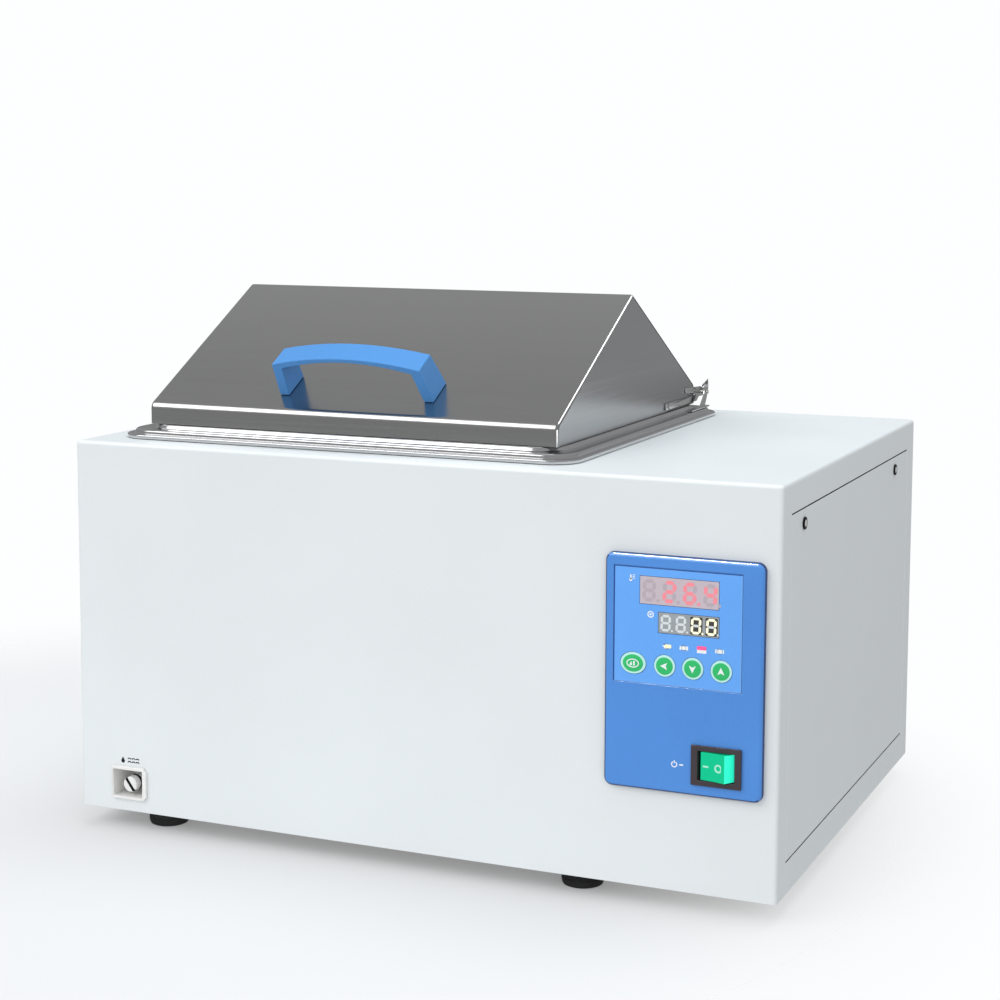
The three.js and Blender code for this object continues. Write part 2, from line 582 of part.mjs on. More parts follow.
function buildHeater() {
  const [rear, front] = heaterRows();
  const turnX = bathRight - HEATER.reach;
  const middle = bathRight - 60;
  const r = HEATER.turnRadius;
  const z = HEATER.z;
  // Half of two long hairpins joined near the right wall, all at one height; the other half mirrors it.
  const half = [
    [HEATER.tail, rear, z], [bathRight - 20, rear, z], [turnX + r, rear, z],
    [turnX + r * 0.3, rear - r * 0.3, z], [turnX, rear - r, z], [turnX + r * 0.3, rear - r * 1.7, z],
    [turnX + r, rear - 2 * r, z], [middle - r, rear - 2 * r, z],
    [middle - r * 0.2, rear - 2.4 * r, z], [middle, 25, z],
  ];
  const route = [...half, ...half.map(([x, y]) => [x, -y, z]).reverse()];
  piece(bath, 'heating_element', bentBar(route, HEATER.radius, 76), MATERIALS.steel);
  wallGland('heater_gland_rear', HEATER.radius + GAP, HEATER.neck, rear, z);
  wallGland('heater_gland_front', HEATER.radius + GAP, HEATER.neck, front, z);
}

function buildProbe() {
  const tip = bathRight - PROBE.reach;
  const profile = [
    [0, tip], [PROBE.radius - 1, tip + 0.4], [PROBE.radius, tip + 2], [PROBE.radius, PROBE.tail],
    [0, PROBE.tail],
  ];
  piece(bath, 'temperature_probe', turned('x', profile, [0, PROBE.y, PROBE.z], 12), MATERIALS.steel);
  wallGland('probe_gland', PROBE.radius + GAP, PROBE.neck, PROBE.y, PROBE.z);
}

function buildShelf() {
  const { gap, top, thickness, legInset, legSetback } = SHELF;
  const [halfWidth, halfDepth] = [BATH.width / 2 - gap, BATH.depth / 2 - gap];
  const bottom = top - thickness;
  const plate = upPrism(
    roundedRectangle(BATH.x - halfWidth, BATH.x + halfWidth, -halfDepth, halfDepth, BATH.corner - 2),
    bottom, top);
  const legFace = halfDepth - legSetback;
  const legs = [-1, 1].map((side) => {
    const [y0, y1] = [side * legFace, side * (legFace - thickness)].sort((a, b) => a - b);
    const reach = halfWidth - legInset;
    return box(BATH.x - reach, BATH.x + reach, y0, y1, BATH.floor + GAP, bottom + thickness / 2);
  });
  const { radius, columns, rows, pitchX, pitchY } = SHELF_HOLES;
  const holes = [];
  for (let column = 0; column < columns; column++) {
    for (let row = 0; row < rows; row++) {
      const x = BATH.x + (column - (columns - 1) / 2) * pitchX;
      const y = (row - (rows - 1) / 2) * pitchY;
      holes.push(rod('z', radius, bottom - THROUGH, top + THROUGH, [x, y, 0], 12));
    }
  }
  piece(bath, 'perforated_shelf', cut(joined([plate, ...legs]), holes), MATERIALS.steel);
}

function buildSpigot() {
  const { x, y, bore, radius, neck, flange, flangeHeight, bottom } = OUTLET;
  const underside = BATH.floor - BATH.sheet;
  const inTank = BATH.floor - 0.4;
  const profile = [
    [bore, bottom], [radius, bottom], [radius, underside - flangeHeight], [flange, underside - flangeHeight],
    [flange, underside - GAP], [neck, underside - GAP], [neck, inTank], [bore, inTank], [bore, bottom],
  ];
  piece(bath, 'drain_spigot', turned('z', profile, [x, y, 0], 20), MATERIALS.steel);
}

function buildHose() {
  const { x, z } = DRAIN;
  const top = OUTLET.bottom - 3 * GAP;
  const route = [
    [OUTLET.x, OUTLET.y, top], [OUTLET.x, OUTLET.y, top - 5], [OUTLET.x - 7, OUTLET.y - 14, 46],
    [OUTLET.x - 34, OUTLET.y - 46, 38], [x + 14, -48, z + 0.5], [x + 1, -80, z], [x, -105, z],
    [x, HOSE_END, z],
  ];
  piece(bath, 'drain_hose', bentBar(route, OUTLET.neck, 36, 10), MATERIALS.hose);
}

// The valve: a square body on a foot, with a tail for the hose and a slotted stem to turn from the front.
function buildValve() {
  const { x, z, back, stemRadius, face } = DRAIN;
  const [half, front, rear] = [12, back + GAP, -142];
  const body = joined([
    box(x - half, x + half, front, rear, z - half + THROUGH, z + half - THROUGH),
    box(x - half / 2, x + half / 2, front + 4, rear - 4, BASE_TOP + GAP, z),
    rod('y', stemRadius, rear - 3, HOSE_END - GAP, [x, 0, z], 20),
  ]);
  const boreEnd = back + 20;
  const bore = rod('y', stemRadius + 0.4, back - THROUGH, boreEnd, [x, 0, z], 20);
  piece(bath, 'drain_valve_body', body.subtract(bore), MATERIALS.brass);

  const stem = rod('y', stemRadius, face, boreEnd - 0.5, [x, 0, z], 24);
  const [slotWidth, slotDepth, slotTurn] = [2, 2.5, -Math.PI / 5];
  const slot = new THREE.BoxGeometry(slotWidth, 2 * slotDepth, 2 * stemRadius + 2);
  slot.rotateY(slotTurn);
  slot.translate(x, face, z);
  piece(bath, 'drain_valve_stem', stem.subtract(solidOf(slot)), MATERIALS.zinc);
}

function buildDrainBezel() {
  const { left, right, bottom, top, chamfer, proud, back, sleeve, stemRadius } = DRAIN;
  const { wallLeft, wallRight, wallFlat } = DRAIN;
  const flange = frontPrism(
    outline([
      [left, bottom], [right - chamfer, bottom], [right, bottom + chamfer],
      [right, top - chamfer], [right - chamfer, top], [left, top],
    ]),
    -FACE - proud, -FACE - GAP);
  const [x0, x1, z0, z1] = [left + wallLeft, right - wallRight, bottom + wallFlat, top - wallFlat];
  const tube = box(
    x0 - sleeve + GAP, x1 + sleeve - GAP, -FACE - THROUGH, back, z0 - sleeve, z1 + sleeve);
  const hollow = box(x0, x1, -FACE - OVERCUT, back - 2, z0, z1);
  const hole = rod('y', stemRadius + 0.7, back - OVERCUT, back + OVERCUT, [DRAIN.x, 0, DRAIN.z], 24);
  piece(bath, 'drain_bezel', cut(flange.add(tube), [hollow, hole]), MATERIALS.white);
}

// ---- Lid --------------------------------------------------------------------------------------------------

const slopeRun = LID.depth / 2;
const slopeRise = LID.ridge - LID.fold;
const slopeAngle = Math.atan2(slopeRise, slopeRun);

function gable(inset) {
  const half = LID.depth / 2 - inset;
  const drop = inset / Math.cos(slopeAngle);
  const fold = LID.fold + inset * Math.tan(slopeAngle) - drop;
  const low = inset > 0 ? LID.bottom - OVERCUT : LID.bottom;
  return outline([[-half, low], [half, low], [half, fold], [0, LID.ridge - drop], [-half, fold]]);
}

function handleScrewPlaces() {
  return [-1, 1].map((side) => LID.x + side * (HANDLE.base / 2 - HANDLE.screwInset));
}

function slopeFrame() {
  const frame = new THREE.Group();
  frame.position.set(0, -LID.depth / 2, LID.fold);
  frame.rotation.x = slopeAngle;
  return frame;
}

function buildLid() {
  const [left, right] = [LID.x - LID.width / 2, LID.x + LID.width / 2];
  const skin = sidePrism(gable(0), left, right);
  const hollow = sidePrism(gable(LID.sheet), left + LID.sheet, right - LID.sheet);
  const half = LID.depth / 2;
  const within = LID.sheet / 2;
  const hemTop = LID.bottom + LID.sheet;
  const hem = box(left + within, right - within, -half + within, half - within, LID.bottom, hemTop);
  const inset = LID.sheet + LID.hem;
  const mouth = box(
    left + inset, right - inset, -half + inset, half - inset, LID.bottom - THROUGH, hemTop + THROUGH);
  const middle = (HANDLE.low + HANDLE.high) / 2;
  const screwHoles = handleScrewPlaces().map((x) => {
    const geometry = new THREE.CylinderGeometry(HANDLE.screwHole, HANDLE.screwHole, 2 * OVERCUT, 10);
    geometry.rotateX(Math.PI / 2);
    geometry.translate(x, middle, 0);
    geometry.rotateX(slopeAngle);
    geometry.translate(0, -LID.depth / 2, LID.fold);
    return solidOf(geometry);
  });
  const shell = cut(skin.subtract(hollow).add(hem.subtract(mouth)), screwHoles);
  piece(lid, 'lid_shell', shell, MATERIALS.steel);
}

// The handle and its screws, laid out on the lid's front slope: X across, Y up the slope, Z out of it.
function buildHandle() {
  const frame = slopeFrame();
  const { base, top, corner, crown, leg, bar, low, high, lean, taper } = HANDLE;
  const innerTop = top / 2 - leg + 0.5;
  const shape = new THREE.Shape();
  shape.moveTo(-base / 2, GAP);
  shape.lineTo(-top / 2, corner);
  shape.quadraticCurveTo(0, 2 * crown - corner, top / 2, corner);
  shape.lineTo(base / 2, GAP);
  shape.lineTo(base / 2 - leg, GAP);
  shape.lineTo(innerTop, corner - bar);
  shape.quadraticCurveTo(0, 2 * crown - corner - bar, -innerTop, corner - bar);
  shape.lineTo(-base / 2 + leg, GAP);
  shape.closePath();
  let handle = frontPrism(shape, low, high, 12).warp((point) => {
    point[1] = low + (point[1] - low) * (1 - taper * point[2]) - lean * point[2];
  });
  const middle = (low + high) / 2;
  for (const x of handleScrewPlaces()) {
    const place = [x - LID.x, middle, 0];
    handle = handle.subtract(rod('z', HANDLE.screwHole, -THROUGH, HANDLE.screwDepth, place, 10));
  }
  const mesh = piece(frame, 'lid_handle', handle, MATERIALS.handle);
  mesh.position.x = LID.x;

  const under = -LID.sheet - GAP;
  const tip = HANDLE.screwDepth - 2;
  const screw = [[0, under - 2.4], [3.2, under - 2], [3.8, under], [2, under], [2, tip], [0, tip]];
  const names = ['left', 'right'];
  handleScrewPlaces().forEach((x, i) => {
    piece(frame, `handle_screw_${names[i]}`, turned('z', screw, [x, middle, 0], 12), MATERIALS.zinc);
  });
  lid.add(frame);
}

// One hinge, drawn at the lid's right end with X out from the bath's middle, then mirrored for the left.
// The leaf is one sheet riveted to the gable: a strap, an arm back to the pin, and a stop bent outwards,
// which comes down on the rim when the lid is open.
function hingeSolids() {
  const { y, z, sheet, pinRadius, holeRadius, stopY } = HINGE;
  const leafIn = LID.width / 2 + GAP;
  const leafOut = leafIn + sheet;
  const [stopOut, earIn] = [leafIn + 5.2, leafIn + 5.7];
  const earOut = earIn + sheet;
  const seat = RIM.top + GAP;
  const pinHole = rod('x', holeRadius, leafIn - OVERCUT, earOut + OVERCUT, [0, y, z], 16);

  const [strapLow, strapHigh] = [LID.bottom + 1.7, LID.bottom + 7.1];
  const arm = outline([
    [78, strapLow], [158, strapLow], [164, z - 4], [stopY + sheet, z - 4], [stopY + sheet, z + 2],
    [169, z + 4.2], [161, z + 4.6], [130, z + 6.2], [130, z + 1.9], [152, z + 0.6], [155, strapHigh],
    [78, strapHigh],
  ]);
  const stop = outline([
    [leafIn, z - 3.9], [stopOut, z - 2.8], [stopOut + 0.3, z + 4], [stopOut, z + 10.3], [leafIn, z + 4.6],
  ]);
  const rivets = RIVET.ys.map((at) =>
    rod('x', RIVET.radius, leafIn, leafOut + RIVET.height, [0, at, RIVET.z], 12));
  const leaf = cut(
    joined([sidePrism(arm, leafIn, leafOut), frontPrism(stop, stopY, stopY + sheet), ...rivets]), [pinHole]);

  const ear = outline([
    [150, seat], [163, seat], [169.5, z - 3], [169, z + 2], [y, z + 3.8], [162, z + 2], [160.5, z - 3],
  ]);
  const bracket = cut(
    joined([
      box(earIn, earIn + 5.3, 116, 163, seat, seat + sheet),
      sidePrism(ear, earIn, earOut),
    ]),
    [pinHole]);

  const [head, headRadius, end] = [1.4, 2.6, earOut + 2];
  const pin = turned(
    'x',
    [[0, leafIn - GAP - head], [headRadius, leafIn - GAP - head], [headRadius, leafIn - GAP],
      [pinRadius, leafIn - GAP], [pinRadius, end], [0, end]],
    [0, y, z], 16);
  return { leaf, bracket, pin };
}

function buildHinges() {
  const { leaf, bracket, pin } = hingeSolids();
  for (const [name, side] of [['left', -1], ['right', 1]]) {
    const place = (solid) => (side > 0 ? solid : solid.mirror([1, 0, 0])).translate([LID.x, 0, 0]);
    piece(lid, `hinge_leaf_${name}`, place(leaf), MATERIALS.steel);
    piece(bath, `hinge_bracket_${name}`, place(bracket), MATERIALS.steel);
    piece(bath, `hinge_pin_${name}`, place(pin), MATERIALS.zinc);
  }
}

// ---- Control panel ----------------------------------------------------------------------------------------
// Drawn about the middle of the panel, with Y = 0 on the case's front face.

function windowTool({ x, z, width, height }, clearance) {
  const [w, h] = [width / 2 + clearance, height / 2 + clearance];
  return box(x - w, x + w, -PANEL.proud - OVERCUT, BOARD_Y, z - h, z + h);
}

// Tools for the lamps' and keys' holes, from in front of the panel to behind it.
function smallHoles(keyClearance) {
  const [ahead, behind] = [-PANEL.proud - OVERCUT, THROUGH];
  return [
    ...BUTTONS.keys.map(({ x, stretch }) =>
      ovalBar(x, BUTTONS.radius + keyClearance, stretch, ahead, behind)),
    ...LAMPS.xs.map((x) => rod('y', LAMPS.radius + 0.4, ahead, behind, [x, 0, LAMPS.z], 10)),
  ];
}

// An upright oval bar along Y, wider than it is high by its stretch.
function ovalBar(x, radius, stretch, y0, y1, sides = 28) {
  const geometry = new THREE.CylinderGeometry(radius, radius, y1 - y0, sides);
  geometry.scale(stretch, 1, 1);
  geometry.translate(x, (y0 + y1) / 2, BUTTONS.z);
  return solidOf(geometry);
}

function buildControlBezel() {
  const { width, height, proud, corner, bevel, frame, holeInsetX, holeInsetZ } = PANEL;
  const [w, h] = [width / 2 - bevel, height / 2 - bevel];
  const plateGeometry = new THREE.ExtrudeGeometry(roundedRectangle(-w, w, -h, h, corner - bevel), {
    depth: proud - bevel + THROUGH, bevelEnabled: true, bevelSize: bevel, bevelThickness: bevel,
    bevelSegments: 3, curveSegments: 4,
  });
  // The extrusion's back bevel is left behind the case's front face, and cut away there.
  plateGeometry.rotateX(Math.PI / 2);
  plateGeometry.translate(0, THROUGH - GAP, 0);
  const front = -proud - GAP;
  const plate = upright(plateGeometry).intersect(
    box(-width, width, front - THROUGH, -GAP, -height, height));
  const [outX, outZ] = [width / 2 - holeInsetX - 1, height / 2 - holeInsetZ - 0.6];
  const sleeveEnd = 12;
  const sleeve = box(-outX, outX, -THROUGH, sleeveEnd, -outZ, outZ).subtract(
    box(-outX + frame, outX - frame, -GAP, sleeveEnd + THROUGH, -outZ + frame, outZ - frame));
  const recess = box(
    OVERLAY.left, OVERLAY.right, front - THROUGH, front + OVERLAY.recess, OVERLAY.bottom, OVERLAY.top);
  const { holeWidth, holeHeight } = SWITCH_BODY;
  const switchHole = windowTool({ x: SWITCH.x, z: SWITCH.z, width: holeWidth, height: holeHeight }, 0.5);
  const tools = [recess, windowTool(PV, GAP), windowTool(SV, GAP), switchHole, ...smallHoles(0.5)];
  piece(controls, 'control_bezel', cut(plate.add(sleeve), tools), MATERIALS.blue);
}

function buildOverlay() {
  const { left, right, bottom, top, recess, thickness, margin } = OVERLAY;
  const back = -PANEL.proud - GAP + recess - 0.1;
  const sheet = box(left + margin, right - margin, back - thickness, back, bottom + margin, top - margin);
  const tools = [windowTool(PV, GAP), windowTool(SV, GAP), ...smallHoles(GAP)];
  piece(controls, 'keypad_overlay', cut(sheet, tools), MATERIALS.overlay);
}

function buildDisplays() {
  const front = -PANEL.proud - GAP + 0.1;
  for (const [name, { x, z, width, height }, material] of [
    ['pv_display', PV, MATERIALS.pv],
    ['sv_display', SV, MATERIALS.sv],
  ]) {
    const module = box(x - width / 2, x + width / 2, front, BOARD_Y - GAP, z - height / 2, z + height / 2);
    piece(controls, name, module, material);
  }
  const { xs, radius, z: lampZ, barReach, barHalf, barFront, barBack } = LAMPS;
  const posts = xs.map((x) => rod('y', radius, front + 0.2, barBack - THROUGH, [x, 0, lampZ], 10));
  const bar = box(
    xs[0] - barReach, xs[xs.length - 1] + barReach, barFront, barBack, lampZ - barHalf, lampZ + barHalf);
  piece(controls, 'indicator_light_guide', joined([bar, ...posts]), MATERIALS.white);
}

function buildButtons() {
  const { keys, radius, proud, z, shoulder, back, stemRadius, stemEnd } = BUTTONS;
  const front = -PANEL.proud - GAP + 0.1 - proud;
  for (const { name, x, stretch } of keys) {
    const cap = joined([
      ovalBar(x, radius - shoulder, stretch, front, front + 1),
      ovalBar(x, radius, stretch, front + 0.4, back),
      rod('y', stemRadius, back - 0.5, stemEnd, [x, 0, z], 12),
    ]);
    piece(controls, name, cap, MATERIALS.green);
  }
}

function buildSwitch() {
  const { x, z, width, height, proud, wellWidth, wellHeight } = SWITCH;
  const { halfWidth, halfHeight, depth, floor } = SWITCH_BODY;
  const seat = -PANEL.proud - 2 * GAP;
  const face = seat - proud;
  const [terminalX, terminalZ, terminalEnd] = [8, 3, depth + 8];
  const terminals = [x - terminalX - 1, x + terminalX].map((left) =>
    box(left, left + 1, depth - THROUGH, terminalEnd, z - terminalZ, z + terminalZ));
  const housing = joined([
    box(x - width / 2, x + width / 2, face, seat, z - height / 2, z + height / 2),
    box(x - halfWidth, x + halfWidth, face + 1, depth, z - halfHeight, z + halfHeight),
    ...terminals,
  ]);
  const well = box(
    x - wellWidth / 2, x + wellWidth / 2, face - THROUGH, floor, z - wellHeight / 2, z + wellHeight / 2);
  piece(controls, 'switch_housing', housing.subtract(well), MATERIALS.black);

  const pivot = new THREE.Group();
  pivot.position.set(x, 0, z);
  pivot.rotation.z = THREE.MathUtils.degToRad(ROCKER_REST);
  const half = wellHeight / 2 - 0.5;
  // Seen from above, with the pivot at the origin: a dished front, two steep ends and a narrower back.
  const profile = outline([
    [-9, -9], [-4.5, -8.6], [0, -8.4], [4.5, -8.6], [9, -9], [12.4, -1], [8, 6], [-8, 6], [-12.4, -1],
  ]);
  piece(pivot, 'rocker', upPrism(profile, -half, half), MATERIALS.rocker);
  controls.add(pivot);
}

// ---- Electronics ------------------------------------------------------------------------------------------

function buildControllerBoard() {
  const [front, back] = [BOARD_Y, BOARD_Y + 1.6];
  const inside = BOARD_Y + THROUGH;
  const board = box(-43, 43, front, back, -4, 71.5);
  const keySwitches = BUTTONS.keys.map(({ x }) =>
    rod('y', 3, front - 1.5, inside, [x, 0, BUTTONS.z], 10));
  const chip = box(-12, 10, inside, back + 2.4, 20, 42);
  const relay = box(22, 40, inside, back + 14.4, 0, 22);
  const largeCapacitor = rod('y', 6, inside, back + 18.4, [-30, 0, 12], 16);
  const smallCapacitor = rod('y', 4, inside, back + 11.4, [-30, 0, 30], 16);
  const connector = box(-40, 40, inside, back + 7.4, 62, 70);
  const fitted = joined([board, ...keySwitches, chip, relay, largeCapacitor, smallCapacitor, connector]);
  piece(controls, 'controller_board', fitted, MATERIALS.board);
}

function buildHeatsinkAndRelay() {
  const wall = PARTITION.x + PARTITION.thickness + GAP;
  const [y0, y1, z0, z1] = [-70, 10, 165, 245];
  const [plate, reach, finPitch, finWidth] = [5, 26, 8, 2];
  const sink = [box(wall, wall + plate, y0, y1, z0, z1)];
  for (let y = y0; y <= y1 - finWidth; y += finPitch) {
    sink.push(box(wall + plate - THROUGH, wall + reach, y, y + finWidth, z0, z1));
  }
  sink.push(box(wall + plate - THROUGH, wall + 2 * plate, y0 + 14, y1 - 14, z0 + 12, z1 - 12));
  piece(electrics, 'relay_heatsink', joined(sink), MATERIALS.aluminium);

  const front = wall + reach + GAP;
  const back = front + 22;
  const [middleY, middleZ] = [(y0 + y1) / 2, (z0 + z1) / 2];
  const [half, halfHeight, terminalY, terminalZ] = [22, 29, 14, 20];
  const terminals = [-1, 1].map((side) =>
    rod('x', 4, back - 2, back + 3, [0, middleY + side * terminalY, middleZ + terminalZ], 10));
  const block = box(front, back, middleY - half, middleY + half, middleZ - halfHeight, middleZ + halfHeight);
  piece(electrics, 'solid_state_relay', joined([block, ...terminals]), MATERIALS.black);
}

function buildTransformer() {
  const [x0, y0, z0] = [178, 70, BASE_TOP + GAP];
  const [x1, y1, z1] = [x0 + 57, y0 + 32, z0 + 48];
  const [windowInset, coilReach] = [9, 10];
  const core = box(x0, x1, y0, y1, z0, z1);
  const coil = box(
    x0 + windowInset, x1 - windowInset, y0 - coilReach, y1 + coilReach, z0 + windowInset, z1 - windowInset);
  piece(electrics, 'transformer', core.add(coil), MATERIALS.copper);
}

function buildInlet() {
  const { x, z, width, height, cutWidth, cutHeight, depth, flange } = INLET;
  const back = REAR.y + REAR.thickness + GAP;
  const inner = back - depth;
  const plate = (halfWidth, halfHeight, y0, y1) =>
    frontPrism(roundedRectangle(x - halfWidth, x + halfWidth, z - halfHeight, z + halfHeight, 2), y0, y1, 2);
  const shell = joined([
    plate(width / 2, height / 2, back, back + flange),
    plate(cutWidth / 2, cutHeight / 2, inner, back + THROUGH),
  ]);
  const { halfWidth, halfHeight, shoulder, corner, pinHalf, pinRise } = SOCKET;
  const floor = back + flange - SOCKET.depth;
  const cavity = frontPrism(
    outline([
      [x - halfWidth, z - halfHeight], [x + halfWidth, z - halfHeight],
      [x + halfWidth, z + shoulder], [x + halfWidth - corner, z + halfHeight],
      [x - halfWidth + corner, z + halfHeight], [x - halfWidth, z + shoulder],
    ]),
    floor, back + OVERCUT);
  const pins = [[-7, -2], [7, -2], [0, 3]].map(([dx, dz]) =>
    box(x + dx - pinHalf, x + dx + pinHalf, floor - 2, back + THROUGH, z + dz - pinRise, z + dz + pinRise));
  const tails = [-7, 0, 7].map((dx) =>
    box(x + dx - 3, x + dx + 3, inner - 8, inner + THROUGH, z - 0.5, z + 0.5));
  piece(electrics, 'power_inlet', joined([shell.subtract(cavity), ...pins, ...tails]), MATERIALS.black);
}

function buildFuseHolder() {
  const { x, z, radius, capRadius, capLength, depth, tail } = FUSE;
  const back = REAR.y + REAR.thickness + GAP;
  const inner = back - depth;
  const holder = joined([
    rod('y', radius, inner, back + THROUGH, [x, 0, z], 20),
    rod('y', capRadius, back, back + capLength, [x, 0, z], 20),
    box(x - 3, x + 3, inner - tail, inner + THROUGH, z - 0.5, z + 0.5),
  ]);
  const end = back + capLength;
  const slot = box(x - 1, x + 1, end - 2, end + THROUGH, z - capRadius - 1, z + capRadius + 1);
  piece(electrics, 'fuse_holder', holder.subtract(slot), MATERIALS.black);
}

// ---- Assembly ---------------------------------------------------------------------------------------------

buildCaseShell();
buildBasePlate();
buildFeet();
buildSideCover();
buildCoverScrews();
buildRearPanel();
buildPartition();

buildTank();
buildGasket();
buildInsulation();
buildHeater();
buildProbe();
buildShelf();
buildSpigot();
buildHose();
buildValve();
buildDrainBezel();

buildLid();
buildHandle();
buildHinges();

controls.position.set(PANEL.x, -FACE, PANEL.z);
buildControlBezel();
buildOverlay();
buildDisplays();
buildButtons();
buildSwitch();
buildControllerBoard();

buildHeatsinkAndRelay();
buildTransformer();
buildInlet();
buildFuseHolder();

const waterBath = new THREE.Group();
waterBath.add(casing, bath, lid, controls, electrics);

export default waterBath;
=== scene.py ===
"""The looks of a benchtop water bath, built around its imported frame.

Shapes are drawn in millimetres in the frame's own axes (X right, Y back, Z up), and scaled to metres as each
piece is made. Places and sizes come from the frame's nodes. The named values are for what it doesn't hold.
"""
import json
import math

import bmesh
import bpy
from mathutils import Matrix, Vector

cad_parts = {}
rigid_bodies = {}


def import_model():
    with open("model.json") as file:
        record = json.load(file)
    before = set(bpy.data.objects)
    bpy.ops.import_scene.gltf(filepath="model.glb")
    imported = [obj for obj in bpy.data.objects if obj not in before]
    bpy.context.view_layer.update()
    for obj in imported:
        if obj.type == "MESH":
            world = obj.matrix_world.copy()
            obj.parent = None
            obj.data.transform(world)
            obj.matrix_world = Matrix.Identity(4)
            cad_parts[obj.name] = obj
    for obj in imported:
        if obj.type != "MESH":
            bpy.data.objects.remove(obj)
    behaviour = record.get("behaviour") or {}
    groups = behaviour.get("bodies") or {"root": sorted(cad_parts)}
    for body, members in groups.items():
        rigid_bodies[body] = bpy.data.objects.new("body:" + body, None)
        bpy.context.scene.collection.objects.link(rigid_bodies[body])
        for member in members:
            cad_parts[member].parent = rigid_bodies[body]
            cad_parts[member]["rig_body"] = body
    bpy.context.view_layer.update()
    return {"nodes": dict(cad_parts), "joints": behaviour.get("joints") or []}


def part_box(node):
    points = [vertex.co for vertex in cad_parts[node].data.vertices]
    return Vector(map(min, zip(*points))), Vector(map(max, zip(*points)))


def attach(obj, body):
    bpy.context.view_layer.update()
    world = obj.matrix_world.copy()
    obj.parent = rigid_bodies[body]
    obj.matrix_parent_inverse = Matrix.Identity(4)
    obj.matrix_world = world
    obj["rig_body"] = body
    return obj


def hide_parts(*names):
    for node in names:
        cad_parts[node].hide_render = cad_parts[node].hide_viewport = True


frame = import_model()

MM = 0.001
ROUND = 32                      # sides of a small turned shape
PRINT = 0.06                    # how far printed ink stands off its surface

# ---- Outlines and solids ----------------------------------------


def span(*nodes):
    """The lowest and highest corner of CAD nodes at rest, in millimetres."""
    boxes = [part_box(node) for node in nodes]
    low = Vector([min(box[0][i] for box in boxes) for i in range(3)]) / MM
    high = Vector([max(box[1][i] for box in boxes) for i in range(3)]) / MM
    return low, high


def middle(*nodes):
    low, high = span(*nodes)
    return (low + high) / 2


def filleted(corners, closed=True, steps=6):
    """A flat outline through (u, v, radius) corners, each one rounded by an arc."""
    outline = []
    for i, (u, v, radius) in enumerate(corners):
        here = Vector((u, v))
        if radius == 0 or (not closed and i in (0, len(corners) - 1)):
            outline.append((u, v))
            continue
        before = (Vector(corners[i - 1][:2]) - here).normalized()
        after = (Vector(corners[(i + 1) % len(corners)][:2]) - here).normalized()
        half = before.angle(after) / 2
        centre = here + (before + after).normalized() * radius / math.sin(half)
        start = here + before * radius / math.tan(half) - centre
        end = here + after * radius / math.tan(half) - centre
        first = math.atan2(start.y, start.x)
        turn = (math.atan2(end.y, end.x) - first + math.pi) % (2 * math.pi) - math.pi
        for step in range(steps + 1):
            angle = first + turn * step / steps
            outline.append((centre.x + radius * math.cos(angle), centre.y + radius * math.sin(angle)))
    return outline


def rounded(u0, u1, v0, v1, radius, steps=6):
    corners = [(u0, v0, radius), (u1, v0, radius), (u1, v1, radius), (u0, v1, radius)]
    return filleted(corners, steps=steps)


def disc(u, v, radius, sides=ROUND):
    turns = [2 * math.pi * i / sides for i in range(sides)]
    return [(u + radius * math.cos(a), v + radius * math.sin(a)) for a in turns]


def at(axis, u, v, w):
    """A point from two coordinates across an axis and one along it."""
    return {"x": (w, u, v), "y": (u, w, v), "z": (u, v, w)}[axis]


def solid(points, faces):
    bm = bmesh.new()
    verts = [bm.verts.new(point) for point in points]
    for face in faces:
        bm.faces.new([verts[i] for i in face])
    bmesh.ops.recalc_face_normals(bm, faces=bm.faces)
    return bm


def prism(axis, outline, start, end):
    """An outline pushed straight along an axis."""
    count = len(outline)
    points = [at(axis, u, v, w) for w in (start, end) for u, v in outline]
    sides = [(i, (i + 1) % count, count + (i + 1) % count, count + i) for i in range(count)]
    return solid(points, [tuple(range(count)), tuple(range(count, 2 * count)), *sides])


def block(x0, x1, y0, y1, z0, z1):
    return prism("z", [(x0, y0), (x1, y0), (x1, y1), (x0, y1)], z0, z1)


def rod(axis, radius, centre, start, end, sides=ROUND):
    return prism(axis, disc(*centre, radius, sides=sides), start, end)


def slab(x0, x1, z0, z1, radius, front, back, steps=6):
    """A rounded rectangle seen from the front, pushed straight back."""
    return prism("y", rounded(x0, x1, z0, z1, radius, steps), front, back)


def lathe(axis, profile, centre, sides=ROUND):
    """A turned solid: (radius, place along the axis) pairs, from axis to axis, or a closed ring of them."""
    bm = bmesh.new()
    rows = []
    for radius, w in profile:
        outline = disc(*centre, radius, sides=sides) if radius > 0 else [centre]
        rows.append([bm.verts.new(at(axis, u, v, w)) for u, v in outline])
    pairs = list(zip(rows, rows[1:]))
    if profile[0][0] > 0:
        pairs.append((rows[-1], rows[0]))
    for one, other in pairs:
        for i in range(sides):
            j = (i + 1) % sides
            corners = [one[i % len(one)], one[j % len(one)], other[j % len(other)], other[i % len(other)]]
            bm.faces.new(list(dict.fromkeys(corners)))
    bmesh.ops.recalc_face_normals(bm, faces=bm.faces)
    return bm


